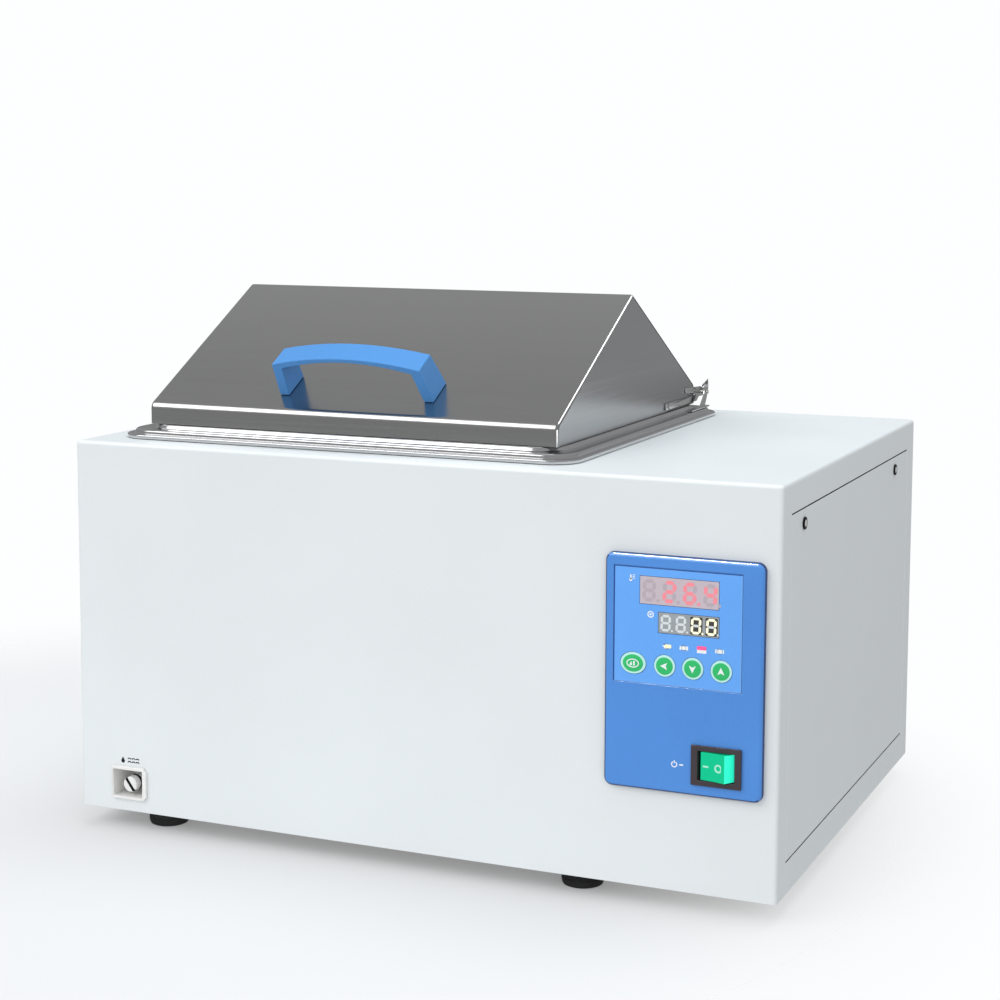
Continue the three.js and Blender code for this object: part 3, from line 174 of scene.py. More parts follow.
def ring(axis, centre, inner, outer, start, end, stretch=1.0, first=0.0, sweep=360.0):
    """A flat ring, or an arc of one, pushed along an axis. Angles in degrees. A stretch makes it an oval."""
    whole = sweep >= 360
    angles = [math.radians(first + sweep * i / ROUND) for i in range(ROUND + (not whole))]
    points = []
    for angle in angles:
        for radius, w in ((inner, start), (outer, start), (outer, end), (inner, end)):
            u = centre[0] + (radius + outer * (stretch - 1)) * math.cos(angle)
            points.append(at(axis, u, centre[1] + radius * math.sin(angle), w))
    faces = []
    for i in range(ROUND):
        a, b = 4 * i, 4 * ((i + 1) % len(angles))
        faces += [(a + k, a + (k + 1) % 4, b + (k + 1) % 4, b + k) for k in range(4)]
    if not whole:
        last = 4 * ROUND
        faces += [(0, 1, 2, 3), (last, last + 1, last + 2, last + 3)]
    return solid(points, faces)


def merged(*parts):
    """Several shapes as one, without joining their skins."""
    bm = bmesh.new()
    for part in parts:
        mesh = bpy.data.meshes.new("part")
        part.to_mesh(mesh)
        part.free()
        bm.from_mesh(mesh)
        bpy.data.meshes.remove(mesh)
    return bm


def scratch(bm):
    """A short-lived object to put modifiers on."""
    mesh = bpy.data.meshes.new("scratch")
    bm.to_mesh(mesh)
    bm.free()
    made = bpy.data.objects.new("scratch", mesh)
    bpy.context.scene.collection.objects.link(made)
    return made


def settled(made):
    """The shape of a scratch object with its modifiers applied. The object goes away."""
    depsgraph = bpy.context.evaluated_depsgraph_get()
    mesh = bpy.data.meshes.new_from_object(made.evaluated_get(depsgraph))
    bm = bmesh.new()
    bm.from_mesh(mesh)
    bpy.data.meshes.remove(mesh)
    bpy.data.meshes.remove(made.data)
    return bm


def carved(bm, *tools):
    """A closed shape with closed tools cut out of it."""
    target = scratch(bm)
    cutters = [scratch(tool) for tool in tools]
    for cutter in cutters:
        cut = target.modifiers.new("cut", "BOOLEAN")
        cut.operation = "DIFFERENCE"
        cut.solver = "EXACT"
        cut.object = cutter
    result = settled(target)
    for cutter in cutters:
        bpy.data.meshes.remove(cutter.data)
    return result


def thickened(bm, thickness):
    """An open skin made into a sheet, with its thickness behind the visible side."""
    sheet = scratch(bm)
    modifier = sheet.modifiers.new("sheet", "SOLIDIFY")
    modifier.thickness = thickness
    modifier.offset = -1
    modifier.use_even_offset = True
    return settled(sheet)


def soften(bm, width, segments=2, angle=40.0, where=None):
    """Rounds the edges that turn by more than an angle."""
    limit = math.radians(angle)
    edges = [
        edge for edge in bm.edges
        if len(edge.link_faces) == 2 and edge.calc_face_angle() > limit and (where is None or where(edge))
    ]
    bmesh.ops.bevel(
        bm, geom=edges, offset=width, offset_type="OFFSET", segments=segments, profile=0.5,
        affect="EDGES", clamp_overlap=False)
    return bm


def skin(rings):
    """A skin through equal closed rings of points, closed at the last one."""
    count = len(rings[0])
    faces = []
    for row in range(len(rings) - 1):
        for i in range(count):
            j = (i + 1) % count
            faces.append((row * count + i, row * count + j, (row + 1) * count + j, (row + 1) * count + i))
    faces.append(tuple(range((len(rings) - 1) * count, len(rings) * count)))
    return solid([point for one in rings for point in one], faces)


def facing(bm, test, direction):
    """Turns an open skin so that its first face that passes the test faces a direction."""
    face = next(face for face in bm.faces if test(face))
    if face.normal.dot(direction) < 0:
        bmesh.ops.reverse_faces(bm, faces=bm.faces)
    return bm


# ---- Pieces ----------------------------------------

LOOKS = {}                      # name: (material, the record's slot)


def wired(tree, kind, inputs=None, **settings):
    """A shader node with its inputs linked to other nodes' sockets or set to values."""
    made = tree.nodes.new("ShaderNode" + kind)
    for key, value in settings.items():
        setattr(made, key, value)
    for key, value in (inputs or {}).items():
        if isinstance(value, bpy.types.NodeSocket):
            tree.links.new(value, made.inputs[key])
        else:
            made.inputs[key].default_value = value
    return made


def add_piece(name, bm, looks, body, replaces=(), look_of=None, smooth=35.0):
    """Makes a shape in millimetres into a piece that moves with a body. look_of picks each face's look."""
    if look_of:
        for face in bm.faces:
            face.material_index = look_of(face)
    bmesh.ops.scale(bm, vec=(MM, MM, MM), verts=bm.verts)
    mesh = bpy.data.meshes.new(name)
    bm.to_mesh(mesh)
    bm.free()
    for look in looks:
        mesh.materials.append(LOOKS[look][0])
    mesh.shade_smooth()
    mesh.set_sharp_from_angle(angle=math.radians(smooth))
    made = bpy.data.objects.new(name, mesh)
    bpy.context.scene.collection.objects.link(made)
    weighted = made.modifiers.new("normals", "WEIGHTED_NORMAL")
    weighted.keep_sharp = True
    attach(made, body)
    if replaces:
        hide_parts(*replaces)


def copied(node):
    """A CAD node's own shape, with its flat faces whole again, in millimetres."""
    weld, flat = 0.002, math.radians(0.6)
    bm = bmesh.new()
    bm.from_mesh(frame["nodes"][node].data)
    bmesh.ops.scale(bm, vec=(1 / MM,) * 3, verts=bm.verts)
    bmesh.ops.remove_doubles(bm, verts=bm.verts, dist=weld)
    bmesh.ops.dissolve_limit(bm, angle_limit=flat, verts=bm.verts, edges=bm.edges)
    return bm


def body_of(node):
    return frame["nodes"][node]["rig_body"]


def refined(node, name, look, bevel, segments=2, tools=()):
    """A CAD node's shape with softened edges, as a piece that stands for it."""
    bm = copied(node)
    if tools:
        bm = carved(bm, *tools)
    if bevel:
        soften(bm, bevel, segments)
    add_piece(name, bm, [look], body_of(node), [node])


# ---- Materials ----------------------------------------


SLOPE_PAINTED_LIGHT = (0.345, 0.408)     # the heights between which painted light makes the lid's slopes paler towards the ridge, in metres
GABLE_SHADE = (0.348, 0.302)    # and those between which its gables grow darker


def srgb(red, green, blue):
    """A screen colour, 0 to 255, in linear light."""
    return tuple(
        c / 3294.6 if c <= 10.31 else ((c / 255 + 0.055) / 1.055) ** 2.4 for c in (red, green, blue))


class Look:
    """A Principled material with procedural detail laid out in object space, in metres."""

    def __init__(self, name, slot, color, roughness, metallic=0.0, **sockets):
        self.material = bpy.data.materials.new(name)
        self.material.use_nodes = True
        self.material.diffuse_color = (*color, 1)
        self.tree = self.material.node_tree
        self.bsdf = self.tree.nodes["Principled BSDF"]
        self.color = color
        values = {"Base Color": (*color, 1), "Roughness": roughness, "Metallic": metallic}
        values.update({socket.replace("_", " "): value for socket, value in sockets.items()})
        for socket, value in values.items():
            self.bsdf.inputs[socket].default_value = value
        self.place = self.tree.nodes.new("ShaderNodeTexCoord").outputs["Object"]
        self.normal = None
        LOOKS[name] = (self.material, slot)

    def node(self, kind, inputs=None, **settings):
        return wired(self.tree, kind, inputs, **settings)

    def noise(self, scale, detail=2.0, stretch=(1, 1, 1), distortion=0.0):
        mapping = self.node("Mapping", {"Vector": self.place, "Scale": stretch})
        inputs = {"Vector": mapping.outputs[0], "Scale": scale, "Detail": detail, "Distortion": distortion}
        return self.node("TexNoise", inputs).outputs["Fac"]

    def height(self):
        """How high a point stands at rest, in metres."""
        return self.node("SeparateXYZ", {"Vector": self.place}).outputs["Z"]

    def ranged(self, value, low, high, start=0.3, end=0.7):
        inputs = {"Value": value, "From Min": start, "From Max": end, "To Min": low, "To Max": high}
        return self.node("MapRange", inputs).outputs["Result"]

    def vary(self, socket, value, low, high, start=0.3, end=0.7):
        """Lets a socket drift between two numbers with a value."""
        self.tree.links.new(self.ranged(value, low, high, start, end), self.bsdf.inputs[socket])

    def tint(self, value, other, start=0.3, end=0.7):
        """Lets the base colour drift with a value to another one, or to its own times a factor."""
        if isinstance(other, float):
            other = [min(1.0, c * other) for c in self.color]
        before = self.bsdf.inputs["Base Color"]
        mix = self.node("Mix", data_type="RGBA")
        self.tree.links.new(self.ranged(value, 0, 1, start, end), mix.inputs["Factor"])
        if before.is_linked:
            self.tree.links.new(before.links[0].from_socket, mix.inputs["A"])
        else:
            mix.inputs["A"].default_value = (*self.color, 1)
        mix.inputs["B"].default_value = (*other, 1)
        self.tree.links.new(mix.outputs["Result"], before)

    def bump(self, height, strength, depth):
        """Adds relief on top of any before it. The depth is in metres."""
        inputs = {"Height": height, "Strength": strength, "Distance": depth}
        if self.normal:
            inputs["Normal"] = self.normal
        self.normal = self.node("Bump", inputs).outputs["Normal"]
        self.tree.links.new(self.normal, self.bsdf.inputs["Normal"])


def powder_coat(name, slot, color, roughness=0.33):
    """Sprayed and baked powder: orange peel of about a millimetre, and a faint cloudiness."""
    look = Look(name, slot, color, roughness, Specular_IOR_Level=0.5)
    cloud = look.noise(9, detail=3)
    peel = look.noise(750, detail=2)
    speck = look.noise(2600, detail=1)
    look.tint(cloud, 0.965)
    look.tint(speck, 1.03, 0.5, 0.8)
    look.vary("Roughness", cloud, roughness - 0.04, roughness + 0.05)
    look.bump(peel, 0.25, 0.00012)
    look.bump(speck, 0.12, 0.00004)


def brushed_steel(name, slot, color, roughness, stretch, grain=0.5, cloud_scale=7):
    """Sheet steel with a fine rolled grain. The stretch is small along the grain."""
    look = Look(name, slot, color, roughness, 1.0)
    cloud = look.noise(cloud_scale, detail=3, distortion=0.4)
    coarse = look.noise(420, detail=3, stretch=stretch)
    fine = look.noise(1700, detail=2, stretch=stretch)
    look.tint(cloud, 0.93)
    look.tint(coarse, 1.03)
    look.tint(fine, 0.965)
    shares = {0: look.ranged(coarse, 0, 0.6), 1: look.ranged(fine, 0, 0.4)}
    streaks = look.node("Math", shares, operation="ADD").outputs[0]
    look.vary("Roughness", streaks, roughness - 0.03, roughness + 0.04, 0, 1)
    look.bump(coarse, 0.04 * grain, 0.00004)
    look.bump(fine, 0.07 * grain, 0.00002)
    return look


def moulded_plastic(name, slot, color, roughness, grain=900.0, depth=0.00003, **sockets):
    """Injection-moulded plastic: a spark-eroded texture, and a slight flow cloudiness."""
    look = Look(name, slot, color, roughness, **sockets)
    flow = look.noise(14, detail=2, distortion=0.6)
    texture = look.noise(grain, detail=3)
    look.tint(flow, 0.93)
    look.tint(texture, 1.05, 0.45, 0.85)
    look.vary("Roughness", texture, roughness - 0.04, roughness + 0.06)
    look.bump(texture, 0.3, depth)


def plated_metal(name, slot, color, roughness, metallic=1.0, **sockets):
    """Plated, cast or turned metal with a fine mottle."""
    look = Look(name, slot, color, roughness, metallic, **sockets)
    mottle = look.noise(60, detail=4)
    fine = look.noise(1500, detail=2)
    look.tint(mottle, 0.84)
    look.tint(fine, 1.10)
    look.vary("Roughness", mottle, roughness - 0.07, roughness + 0.10)
    look.bump(fine, 0.2, 0.00002)


def ink(name, slot, color, emission=0.0):
    """Screen-printed ink, or a lit segment: a fine mesh pattern in a thin film."""
    look = Look(name, slot, color, 0.45)
    mesh = look.noise(1900, detail=1)
    look.tint(mesh, 0.92)
    look.vary("Roughness", mesh, 0.38, 0.52)
    look.bump(mesh, 0.2, 0.00001)
    if emission:
        look.bsdf.inputs["Emission Color"].default_value = (*color, 1)
        look.bsdf.inputs["Emission Strength"].default_value = emission


def rubber():
    look = Look("rubber", "rubber_black", srgb(30, 30, 32), 0.72, Specular_IOR_Level=0.35)
    skin_noise = look.noise(500, detail=4)
    dust = look.noise(40, detail=4)
    look.tint(dust, srgb(52, 51, 50), 0.45, 0.8)
    look.vary("Roughness", dust, 0.62, 0.85)
    look.bump(skin_noise, 0.4, 0.00008)


def wool():
    look = Look("wool", "insulation", srgb(216, 208, 182), 0.95, Sheen_Weight=0.4)
    fibres = look.noise(260, detail=6, stretch=(1, 1, 3), distortion=1.5)
    tufts = look.noise(45, detail=3)
    look.tint(fibres, srgb(178, 166, 132))
    look.tint(tufts, srgb(228, 222, 200))
    look.bump(tufts, 0.6, 0.002)
    look.bump(fibres, 0.7, 0.0008)


def circuit_board():
    look = Look("board", "board_green", srgb(22, 92, 50), 0.35, Coat_Weight=0.3)
    tracks = look.noise(140, detail=0, stretch=(1, 1, 0.25))
    weave = look.noise(1200, detail=1)
    look.tint(tracks, srgb(44, 128, 66), 0.5, 0.52)
    look.tint(weave, srgb(16, 74, 40))
    look.bump(tracks, 0.3, 0.00004)


def laminated_iron():
    look = Look("iron", "transformer_iron", srgb(92, 74, 58), 0.5, 0.6)
    sheets = look.noise(700, detail=1, stretch=(0.02, 1, 0.02))
    rust = look.noise(60, detail=4)
    look.tint(sheets, srgb(52, 44, 38))
    look.tint(rust, srgb(128, 96, 66), 0.5, 0.9)
    look.bump(sheets, 0.6, 0.0003)


def display_face(name, slot, color, edge):
    """A smoked window: a gloss skin over a soft uneven ground."""
    look = Look(name, slot, color, 0.3, Coat_Weight=0.15, Coat_Roughness=0.1)
    ground = look.noise(55, detail=3)
    film = look.noise(900, detail=1)
    look.tint(ground, edge)
    look.tint(film, 1.05)
    look.bump(film, 0.15, 0.00002)


def make_looks():
    along_x, along_y, along_z = (0.012, 1, 1), (1, 0.012, 1), (1, 1, 0.012)
    powder_coat("coat", "coat", srgb(229, 234, 236))
    lid = brushed_steel("lid_steel", "stainless", (0.51, 0.51, 0.505), 0.20, along_x)
    # painted light: the slopes' steel grows paler towards the ridge
    lid.tint(lid.height(), 1.16, *SLOPE_PAINTED_LIGHT)
    gable = brushed_steel("gable_steel", "stainless", (0.56, 0.56, 0.57), 0.21, along_y)
    gable.tint(gable.height(), 0.54, *GABLE_SHADE)
    brushed_steel("rim_steel", "stainless", (0.66, 0.66, 0.67), 0.17, (1, 1, 1), 0.35, 20)
    brushed_steel("bright_steel", "stainless", (0.70, 0.70, 0.70), 0.14, along_z, 0.3, 30)
    for name, slot, color, roughness, metallic in (
        ("stem_steel", "stainless", (0.94, 0.94, 0.93), 0.40, 0.15),
        ("screw_zinc", "zinc", (0.86, 0.86, 0.85), 0.45, 0.35),
        ("zinc", "zinc", (0.62, 0.62, 0.59), 0.32, 1.0),
        ("brass", "brass", (0.70, 0.52, 0.24), 0.30, 1.0),
        ("aluminium", "aluminium", (0.66, 0.67, 0.68), 0.36, 1.0),
    ):
        plated_metal(name, slot, color, roughness, metallic)
    # near-black painted shade, for the stem's slot and neck and the lid gables' left and rear edges
    plated_metal("painted_shade_steel", "stainless", (0.03, 0.03, 0.032), 0.6, 0.0, Specular_IOR_Level=0.0)
    # near-black painted shade in the seam above and below the side cover
    plated_metal("painted_seam_shade", "coat", (0.02, 0.02, 0.022), 0.6, 0.0, Specular_IOR_Level=0.0)
    moulded_plastic(
        "panel_blue", "panel_blue", srgb(76, 144, 226), 0.34, Coat_Weight=1.0, Coat_Roughness=0.06)
    # dark navy painted shade for the bezel's edge walls, its recess walls and its chamfers turned down or
    # left
    moulded_plastic("panel_painted_shade", "panel_blue", srgb(24, 52, 110), 0.34)
    moulded_plastic("overlay_blue", "overlay_blue", srgb(104, 173, 254), 0.38, 1500, 0.00001)
    moulded_plastic(
        "handle_blue", "handle_blue", srgb(81, 145, 211), 0.42, 700, Specular_IOR_Level=0.25)
    moulded_plastic("key_green", "button_green", srgb(48, 196, 112), 0.36, 1200, 0.00001)
    moulded_plastic("key_ring", "button_green", srgb(196, 246, 240), 0.40, 1200, 0.00001)
    moulded_plastic(
        "rocker_green", "rocker_green", srgb(0, 196, 142), 0.38, 1100, 0.00001, Specular_IOR_Level=0.2,
        Emission_Color=(*srgb(0, 210, 150), 1), Emission_Strength=0.08)
    moulded_plastic(
        "rocker_mint", "rocker_green", srgb(40, 236, 190), 0.26, 1100, 0.00001,
        Emission_Color=(*srgb(50, 245, 205), 1), Emission_Strength=0.55)
    moulded_plastic("black_plastic", "black_plastic", srgb(68, 59, 64), 0.42)
    moulded_plastic("washer_black", "black_plastic", srgb(18, 18, 20), 0.5, Specular_IOR_Level=0.2)
    moulded_plastic("white_plastic", "white_plastic", srgb(238, 238, 236), 0.40)
    moulded_plastic("hose", "hose", srgb(206, 210, 204), 0.45, 300, 0.00005, Subsurface_Weight=0.2)
    display_face("pv_face", "display_red", srgb(196, 188, 198), srgb(208, 184, 190))
    display_face("sv_face", "display_grey", srgb(152, 158, 163), srgb(166, 172, 177))
    for name, slot, color, emission in (
        ("sv_mask", "display_grey", (72, 70, 66), 0),
        ("pv_dim", "display_red", (191, 177, 187), 0),
        ("pv_lit", "display_red", (238, 138, 150), 0.18),
        ("sv_dim", "display_grey", (226, 231, 234), 0),
        ("sv_lit", "display_grey", (255, 252, 214), 0.35),
        ("white_ink", "white_plastic", (244, 250, 252), 0),
        ("dark_ink", "black_plastic", (34, 36, 38), 0),
        # painted shade and a painted highlight along the keypad film's edges
        ("film_painted_shade", "overlay_blue", (38, 72, 148), 0),
        ("film_painted_highlight", "overlay_blue", (136, 188, 250), 0),
        ("mint_ink", "white_plastic", (176, 244, 220), 0),
        ("lamp_amber", "white_plastic", (250, 244, 200), 0.2),
        ("lamp_red", "display_red", (244, 84, 140), 0.4),
    ):
        ink(name, slot, srgb(*color), emission)
    rubber()
    wool()
    circuit_board()
    laminated_iron()


# ---- Casing ----------------------------------------


def cross_recess(axis, centre, face, inward, size=1.6):
    """The tools that cut a cross into a screw's head, whose face is at a place along an axis."""
    u, v = centre
    width, depth = 0.32 * size, 0.55 * size
    w0, w1 = sorted((face - inward * 0.5, face + inward * depth))
    upright = [(u - width, v - size), (u + width, v - size), (u + width, v + size), (u - width, v + size)]
    level = [(u - size, v - width), (u + size, v - width), (u + size, v + width), (u - size, v + width)]
    return [prism(axis, upright, w0, w1), prism(axis, level, w0, w1)]


def build_feet():
    """Turned rubber feet with two grooves, a dished sole and a zinc stud."""
    for corner in ("front_left", "front_right", "rear_left", "rear_right"):
        node = f"foot_{corner}"
        low, high = span(node)
        centre = middle(node)
        radius = (high.x - low.x) / 2
        base, top = low.z, high.z
        height, stud = 16.5, 3.0
        profile = [
            (0, base + 1.2), (radius * 0.55, base + 1.2), (radius * 0.6, base), (radius - 2.2, base),
            (radius - 1.1, base + 0.5), (radius - 0.5, base + 1.8), (radius - 0.1, base + 4.2),
            (radius, base + 5.4), (radius - 0.5, base + 5.9), (radius - 0.4, base + 6.5),
            (radius - 0.2, base + 10.6), (radius - 0.8, base + 11.1), (radius - 0.4, base + 11.6),
            (radius - 0.7, base + height - 1.6), (radius - 1.2, base + height - 0.4),
            (radius - 2.2, base + height), (stud, base + height), (stud, top - 0.6),
            (stud - 0.6, top), (0, top),
        ]
        bm = lathe("z", profile, (centre.x, centre.y), 48)
        stud_start = base + height + 0.1
        add_piece(
            f"rubber_foot_{corner}", bm, ["rubber", "zinc"], "casing", [node],
            look_of=lambda face: int(face.calc_center_median().z > stud_start))


def build_cover_screws():
    """Cup washers, with a countersunk screw almost flush in each."""
    hole, shank = 1.9, 1.7
    for end in ("front", "rear"):
        washer, screw = f"side_cover_washer_{end}", f"side_cover_screw_{end}"
        low, high = span(washer)
        centre = (middle(washer).y, middle(washer).z)
        outer = (high.y - low.y) / 2
        cup = lathe("x", [
            (hole, low.x), (outer, low.x), (outer, high.x - 0.35), (outer - 0.1, high.x - 0.1),
            (outer - 0.35, high.x), (hole + 0.4, high.x), (hole, high.x - 0.3),
        ], centre, 40)
        add_piece(f"cup_washer_{end}", cup, ["washer_black"], "casing", [washer])
        tail, crown, head = span(screw)[0].x, high.x + 0.2, 0.55 * outer
        turned = lathe("x", [
            (0, tail), (shank, tail), (shank, high.x - 0.3), (head, high.x + 0.02), (head, high.x + 0.08),
            (head * 0.7, high.x + 0.17), (0, crown),
        ], centre)
        cut = carved(turned, *cross_recess("x", centre, crown, -1))
        add_piece(f"cover_screw_{end}", cut, ["screw_zinc"], "casing", [screw])


def louvre_hoods(panel_back):
    """Pressed hoods over the rear panel's slots, open below and tapered towards their ends."""
    count, pitch, slot, first = 6, 13.0, 4.0, 178.0
    left, right, margin, taper = 160.0, 252.0, 1.5, 7.0
    rise, cover, sunk, stand, wall = 4.2, 2.6, 0.3, 0.15, 0.9
    across, around = 24, 6
    start, end = left - margin, right + margin
    height = slot + cover
    hoods = []
    for row in range(count):
        top = first + row * pitch + slot + cover
        points = []
        for i in range(across + 1):
            x = start + (end - start) * i / across
            inset = min(1.0, min(x - start, end - x) / taper)
            bulge = rise * math.sin(inset * math.pi / 2) + stand
            for j in range(around + 1):
                turn = math.pi / 2 * j / around
                y = panel_back - sunk + bulge * math.sin(turn)
                points.append((x, y, top - height * (1 - math.cos(turn))))
        columns = around + 1
        faces = []
        for i in range(across):
            for j in range(around):
                here, beyond = i * columns + j, (i + 1) * columns + j
                faces.append((here, beyond, beyond + 1, here + 1))
        hood = facing(solid(points, faces), lambda face: True, Vector((0, 1, 1)))
        hoods.append(thickened(hood, wall))
    return hoods


def build_rear():
    """The louvred panel with its screws, the mains inlet and the fuse holder."""
    panel = soften(copied("rear_panel"), 0.35)
    back = span("rear_panel")[1].y
    add_piece("rear_panel_louvred", merged(panel, *louvre_hoods(back)), ["coat"], "casing", ["rear_panel"])
    for place in ("lower_left", "lower_right", "upper_left", "upper_right"):
        node = f"rear_screw_{place}"
        centre = middle(node)
        tools = cross_recess("y", (centre.x, centre.z), span(node)[1].y, -1, 1.9)
        refined(node, f"panel_screw_{place}", "zinc", 0.2, tools=tools)
    refined("power_inlet", "inlet_socket", "black_plastic", 0.3)
    build_fuse_cap()


def build_fuse_cap():
    """The fuse holder, with a fluted cap to grip."""
    low, high = span("fuse_holder")
    centre = middle("fuse_holder")
    flutes, groove, reach = 24, 0.55, 7
    rim = disc(centre.x, centre.z, (high.x - low.x) / 2, flutes)
    grooves = [rod("y", groove, place, high.y - reach, high.y + 1, 8) for place in rim]
    refined("fuse_holder", "fuse_cap", "black_plastic", 0.35, tools=[merged(*grooves)])


def build_shell_and_cover():
    """The case and its side cover, with painted shade on the edge walls that show in the seam above and
    below the cover.
    """
    skin_depth, seam_reach = 4, 1.5
    high = span("side_cover")[1]
    corners = [vert.co / MM for vert in frame["nodes"]["side_cover"].data.vertices]
    bottom = min(corner.z for corner in corners if corner.x > high.x - 0.2)

    def in_seam(face):
        point = face.calc_center_median()
        near_seam = min(abs(point.z - bottom), abs(point.z - high.z)) < seam_reach
        return int(near_seam and abs(face.normal.z) > 0.9 and point.x > high.x - skin_depth)

    for node, name in (("case_shell", "folded_case"), ("side_cover", "lift_off_cover")):
        add_piece(name, soften(copied(node), 0.3), ["coat", "painted_seam_shade"], "casing", [node], look_of=in_seam)


def build_casing():
    build_shell_and_cover()
    refined("base_plate", "base_tray", "zinc", 0.3)
    refined("partition_wall", "bay_partition", "zinc", 0.3)
    build_feet()
    build_cover_screws()
    build_rear()
    build_drain_mark()


def build_drain_mark():
    """A drop and two ripples printed above the drain."""
    low, high = span("drain_bezel")
    face = -span("case_shell")[1].y
    x, z = (low.x + high.x) / 2 - 1.0, high.z + 4.6
    front, back = face - PRINT, face + 0.3
    drop = filleted([
        (x - 5.2, z + 2.8, 0.2), (x - 7.2, z - 1.0, 1.3), (x - 5.2, z - 2.6, 1.3), (x - 3.2, z - 1.0, 1.3),
    ])
    shapes = [prism("y", drop, front, back)]
    for row in (-1.4, 1.2):
        for column in range(3):
            centre = (x + 0.6 + column * 3.6, z + row - 0.9)
            shapes.append(ring("y", centre, 1.25, 2.1, front, back, first=30, sweep=120))
    add_piece("drain_mark", merged(*shapes), ["dark_ink"], "casing")


# ---- Bath ----------------------------------------

SHEET = 1.2                     # the bath's and the lid's sheet
RIM_OVERHANG = 25.0             # how far the rim reaches out past the bath's wall
BATH_CORNER = 26.0
RIM_CORNER = 22.0
GLANDS = ("heater_gland_rear", "heater_gland_front", "probe_gland")


def bath_ring(out, z, steps=10):
    """A level rounded rectangle, a distance outside the bath's wall."""
    low, high = span("inner_tank")
    grow = out - RIM_OVERHANG
    radius = max(7.0, BATH_CORNER + (out if out < 0 else out * (RIM_CORNER - BATH_CORNER) / RIM_OVERHANG))
    outline = rounded(low.x - grow, high.x + grow, low.y - grow, high.y + grow, radius, steps)
    return [(x, y, z) for x, y in outline]


def build_tank():
    """The deep-drawn bath with its stepped rim, along a rounded profile from the rim's lip inwards."""
    low, high = span("inner_tank")
    floor, land = low.z + SHEET, high.z
    bead, lip, edge = land - 3.0, land - 6.3, land - 9.2
    profile = filleted([
        (RIM_OVERHANG, edge, 0), (RIM_OVERHANG, lip, 1.2), (20.9, lip, 0.7), (20.3, bead, 1.7),
        (9.8, bead, 1.0), (8.7, land, 1.3), (0, land, 2.2), (0, floor, 14.0), (-30, floor, 0),
    ], closed=False)
    bm = skin([bath_ring(out, z) for out, z in profile])
    facing(bm, lambda face: len(face.verts) > 4, Vector((0, 0, 1)))
    wall, reach, wide, narrow = high.x - RIM_OVERHANG, 6, 7.3, 6.3
    tools = []
    for gland in GLANDS:
        radius = wide if gland.startswith("heater") else narrow
        centre = middle(gland)
        tools.append(rod("x", radius, (centre.y, centre.z), wall - reach, wall + reach))
    outlet = middle("drain_spigot")
    tools.append(rod("z", wide, (outlet.x, outlet.y), floor - reach, floor + reach))
    add_piece("drawn_bath", carved(thickened(bm, SHEET), *tools), ["rim_steel"], "casing", ["inner_tank"])


def build_shelf():
    """The lift-out shelf: a plate punched with rows of round holes, on two folded legs."""
    low, high = span("perforated_shelf")
    top, sheet = high.z, 1.5
    corner, pitch, hole, side_margin, end_margin = 24.0, 20.0, 5.0, 30, 42
    plate = prism("z", rounded(low.x, high.x, low.y, high.y, corner), top - sheet, top)
    centre = (low + high) / 2
    columns = int((high.x - low.x - side_margin) / pitch)
    rows = int((high.y - low.y - end_margin) / pitch)
    holes = []
    for column in range(columns + 1):
        for row in range(rows + 1):
            x = centre.x + (column - columns / 2) * pitch
            y = centre.y + (row - rows / 2) * pitch
            holes.append(rod("z", hole, (x, y), top - 3, top + 1, 20))
    plate = soften(carved(plate, merged(*holes)), 0.3, 1, 60)
    inset, reach = 11.0, 40.0
    legs = []
    for side in (-1, 1):
        face = centre.y + side * (high.y - centre.y - inset)
        y0, y1 = sorted((face, face - side * sheet))
        legs.append(soften(block(low.x + reach, high.x - reach, y0, y1, low.z, top - 0.5), 0.3))
    add_piece("punched_shelf", merged(plate, *legs), ["bright_steel"], "shelf", ["perforated_shelf"])


def build_tube(node, name, look):
    """A CAD tube made round by one subdivision."""
    tube = scratch(copied(node))
    modifier = tube.modifiers.new("round", "SUBSURF")
    modifier.levels = modifier.render_levels = 1
    add_piece(name, settled(tube), [look], body_of(node), [node], smooth=60)


def build_drain():
    """The slotted stem, with painted shade in its slot and its neck, with the drain's other pieces."""
    low, high = span("drain_valve_stem")
    centre = (middle("drain_valve_stem").x, middle("drain_valve_stem").z)
    radius = (high.x - low.x) / 2
    face, end = low.y, high.y
    neck, neck_start, neck_end = radius - 0.7, face + 6.0, face + 9.0
    profile = [
        (0, face), (radius - 1.0, face), (radius - 0.25, face + 0.5), (radius, face + 1.2),
        (radius, neck_start), (neck, neck_start + 0.6), (neck, neck_end - 0.6), (radius, neck_end),
        (radius, end), (0, end),
    ]
    half, long, deep, lean = 1.2, 9, 2.6, math.radians(-36)
    slot = prism("y", [(-half, -long), (half, -long), (half, long), (-half, long)], face - 1, face + deep)
    turn = Matrix.Translation((centre[0], 0, centre[1])) @ Matrix.Rotation(lean, 4, "Y")
    bmesh.ops.transform(slot, matrix=turn, verts=slot.verts)
    stem = soften(carved(lathe("y", profile, centre, 40), slot), 0.18, 2, 50)

    def in_shade(facet):
        point = facet.calc_center_median()
        across = (point.x - centre[0]) * math.cos(lean) - (point.z - centre[1]) * math.sin(lean)
        in_slot = abs(across) < half + 0.1 and face + 0.2 < point.y < face + deep + 0.1
        return int(in_slot or neck_start + 0.3 < point.y < neck_end - 0.2)

    looks = ["stem_steel", "painted_shade_steel"]
    add_piece("slotted_stem", stem, looks, "drain_stem", ["drain_valve_stem"], look_of=in_shade)
    build_drain_surround(centre, radius)
    refined("drain_valve_body", "valve_body", "brass", 0.5)
    refined("drain_spigot", "bath_spigot", "bright_steel", 0.3)
    build_tube("drain_hose", "drain_tube", "hose")


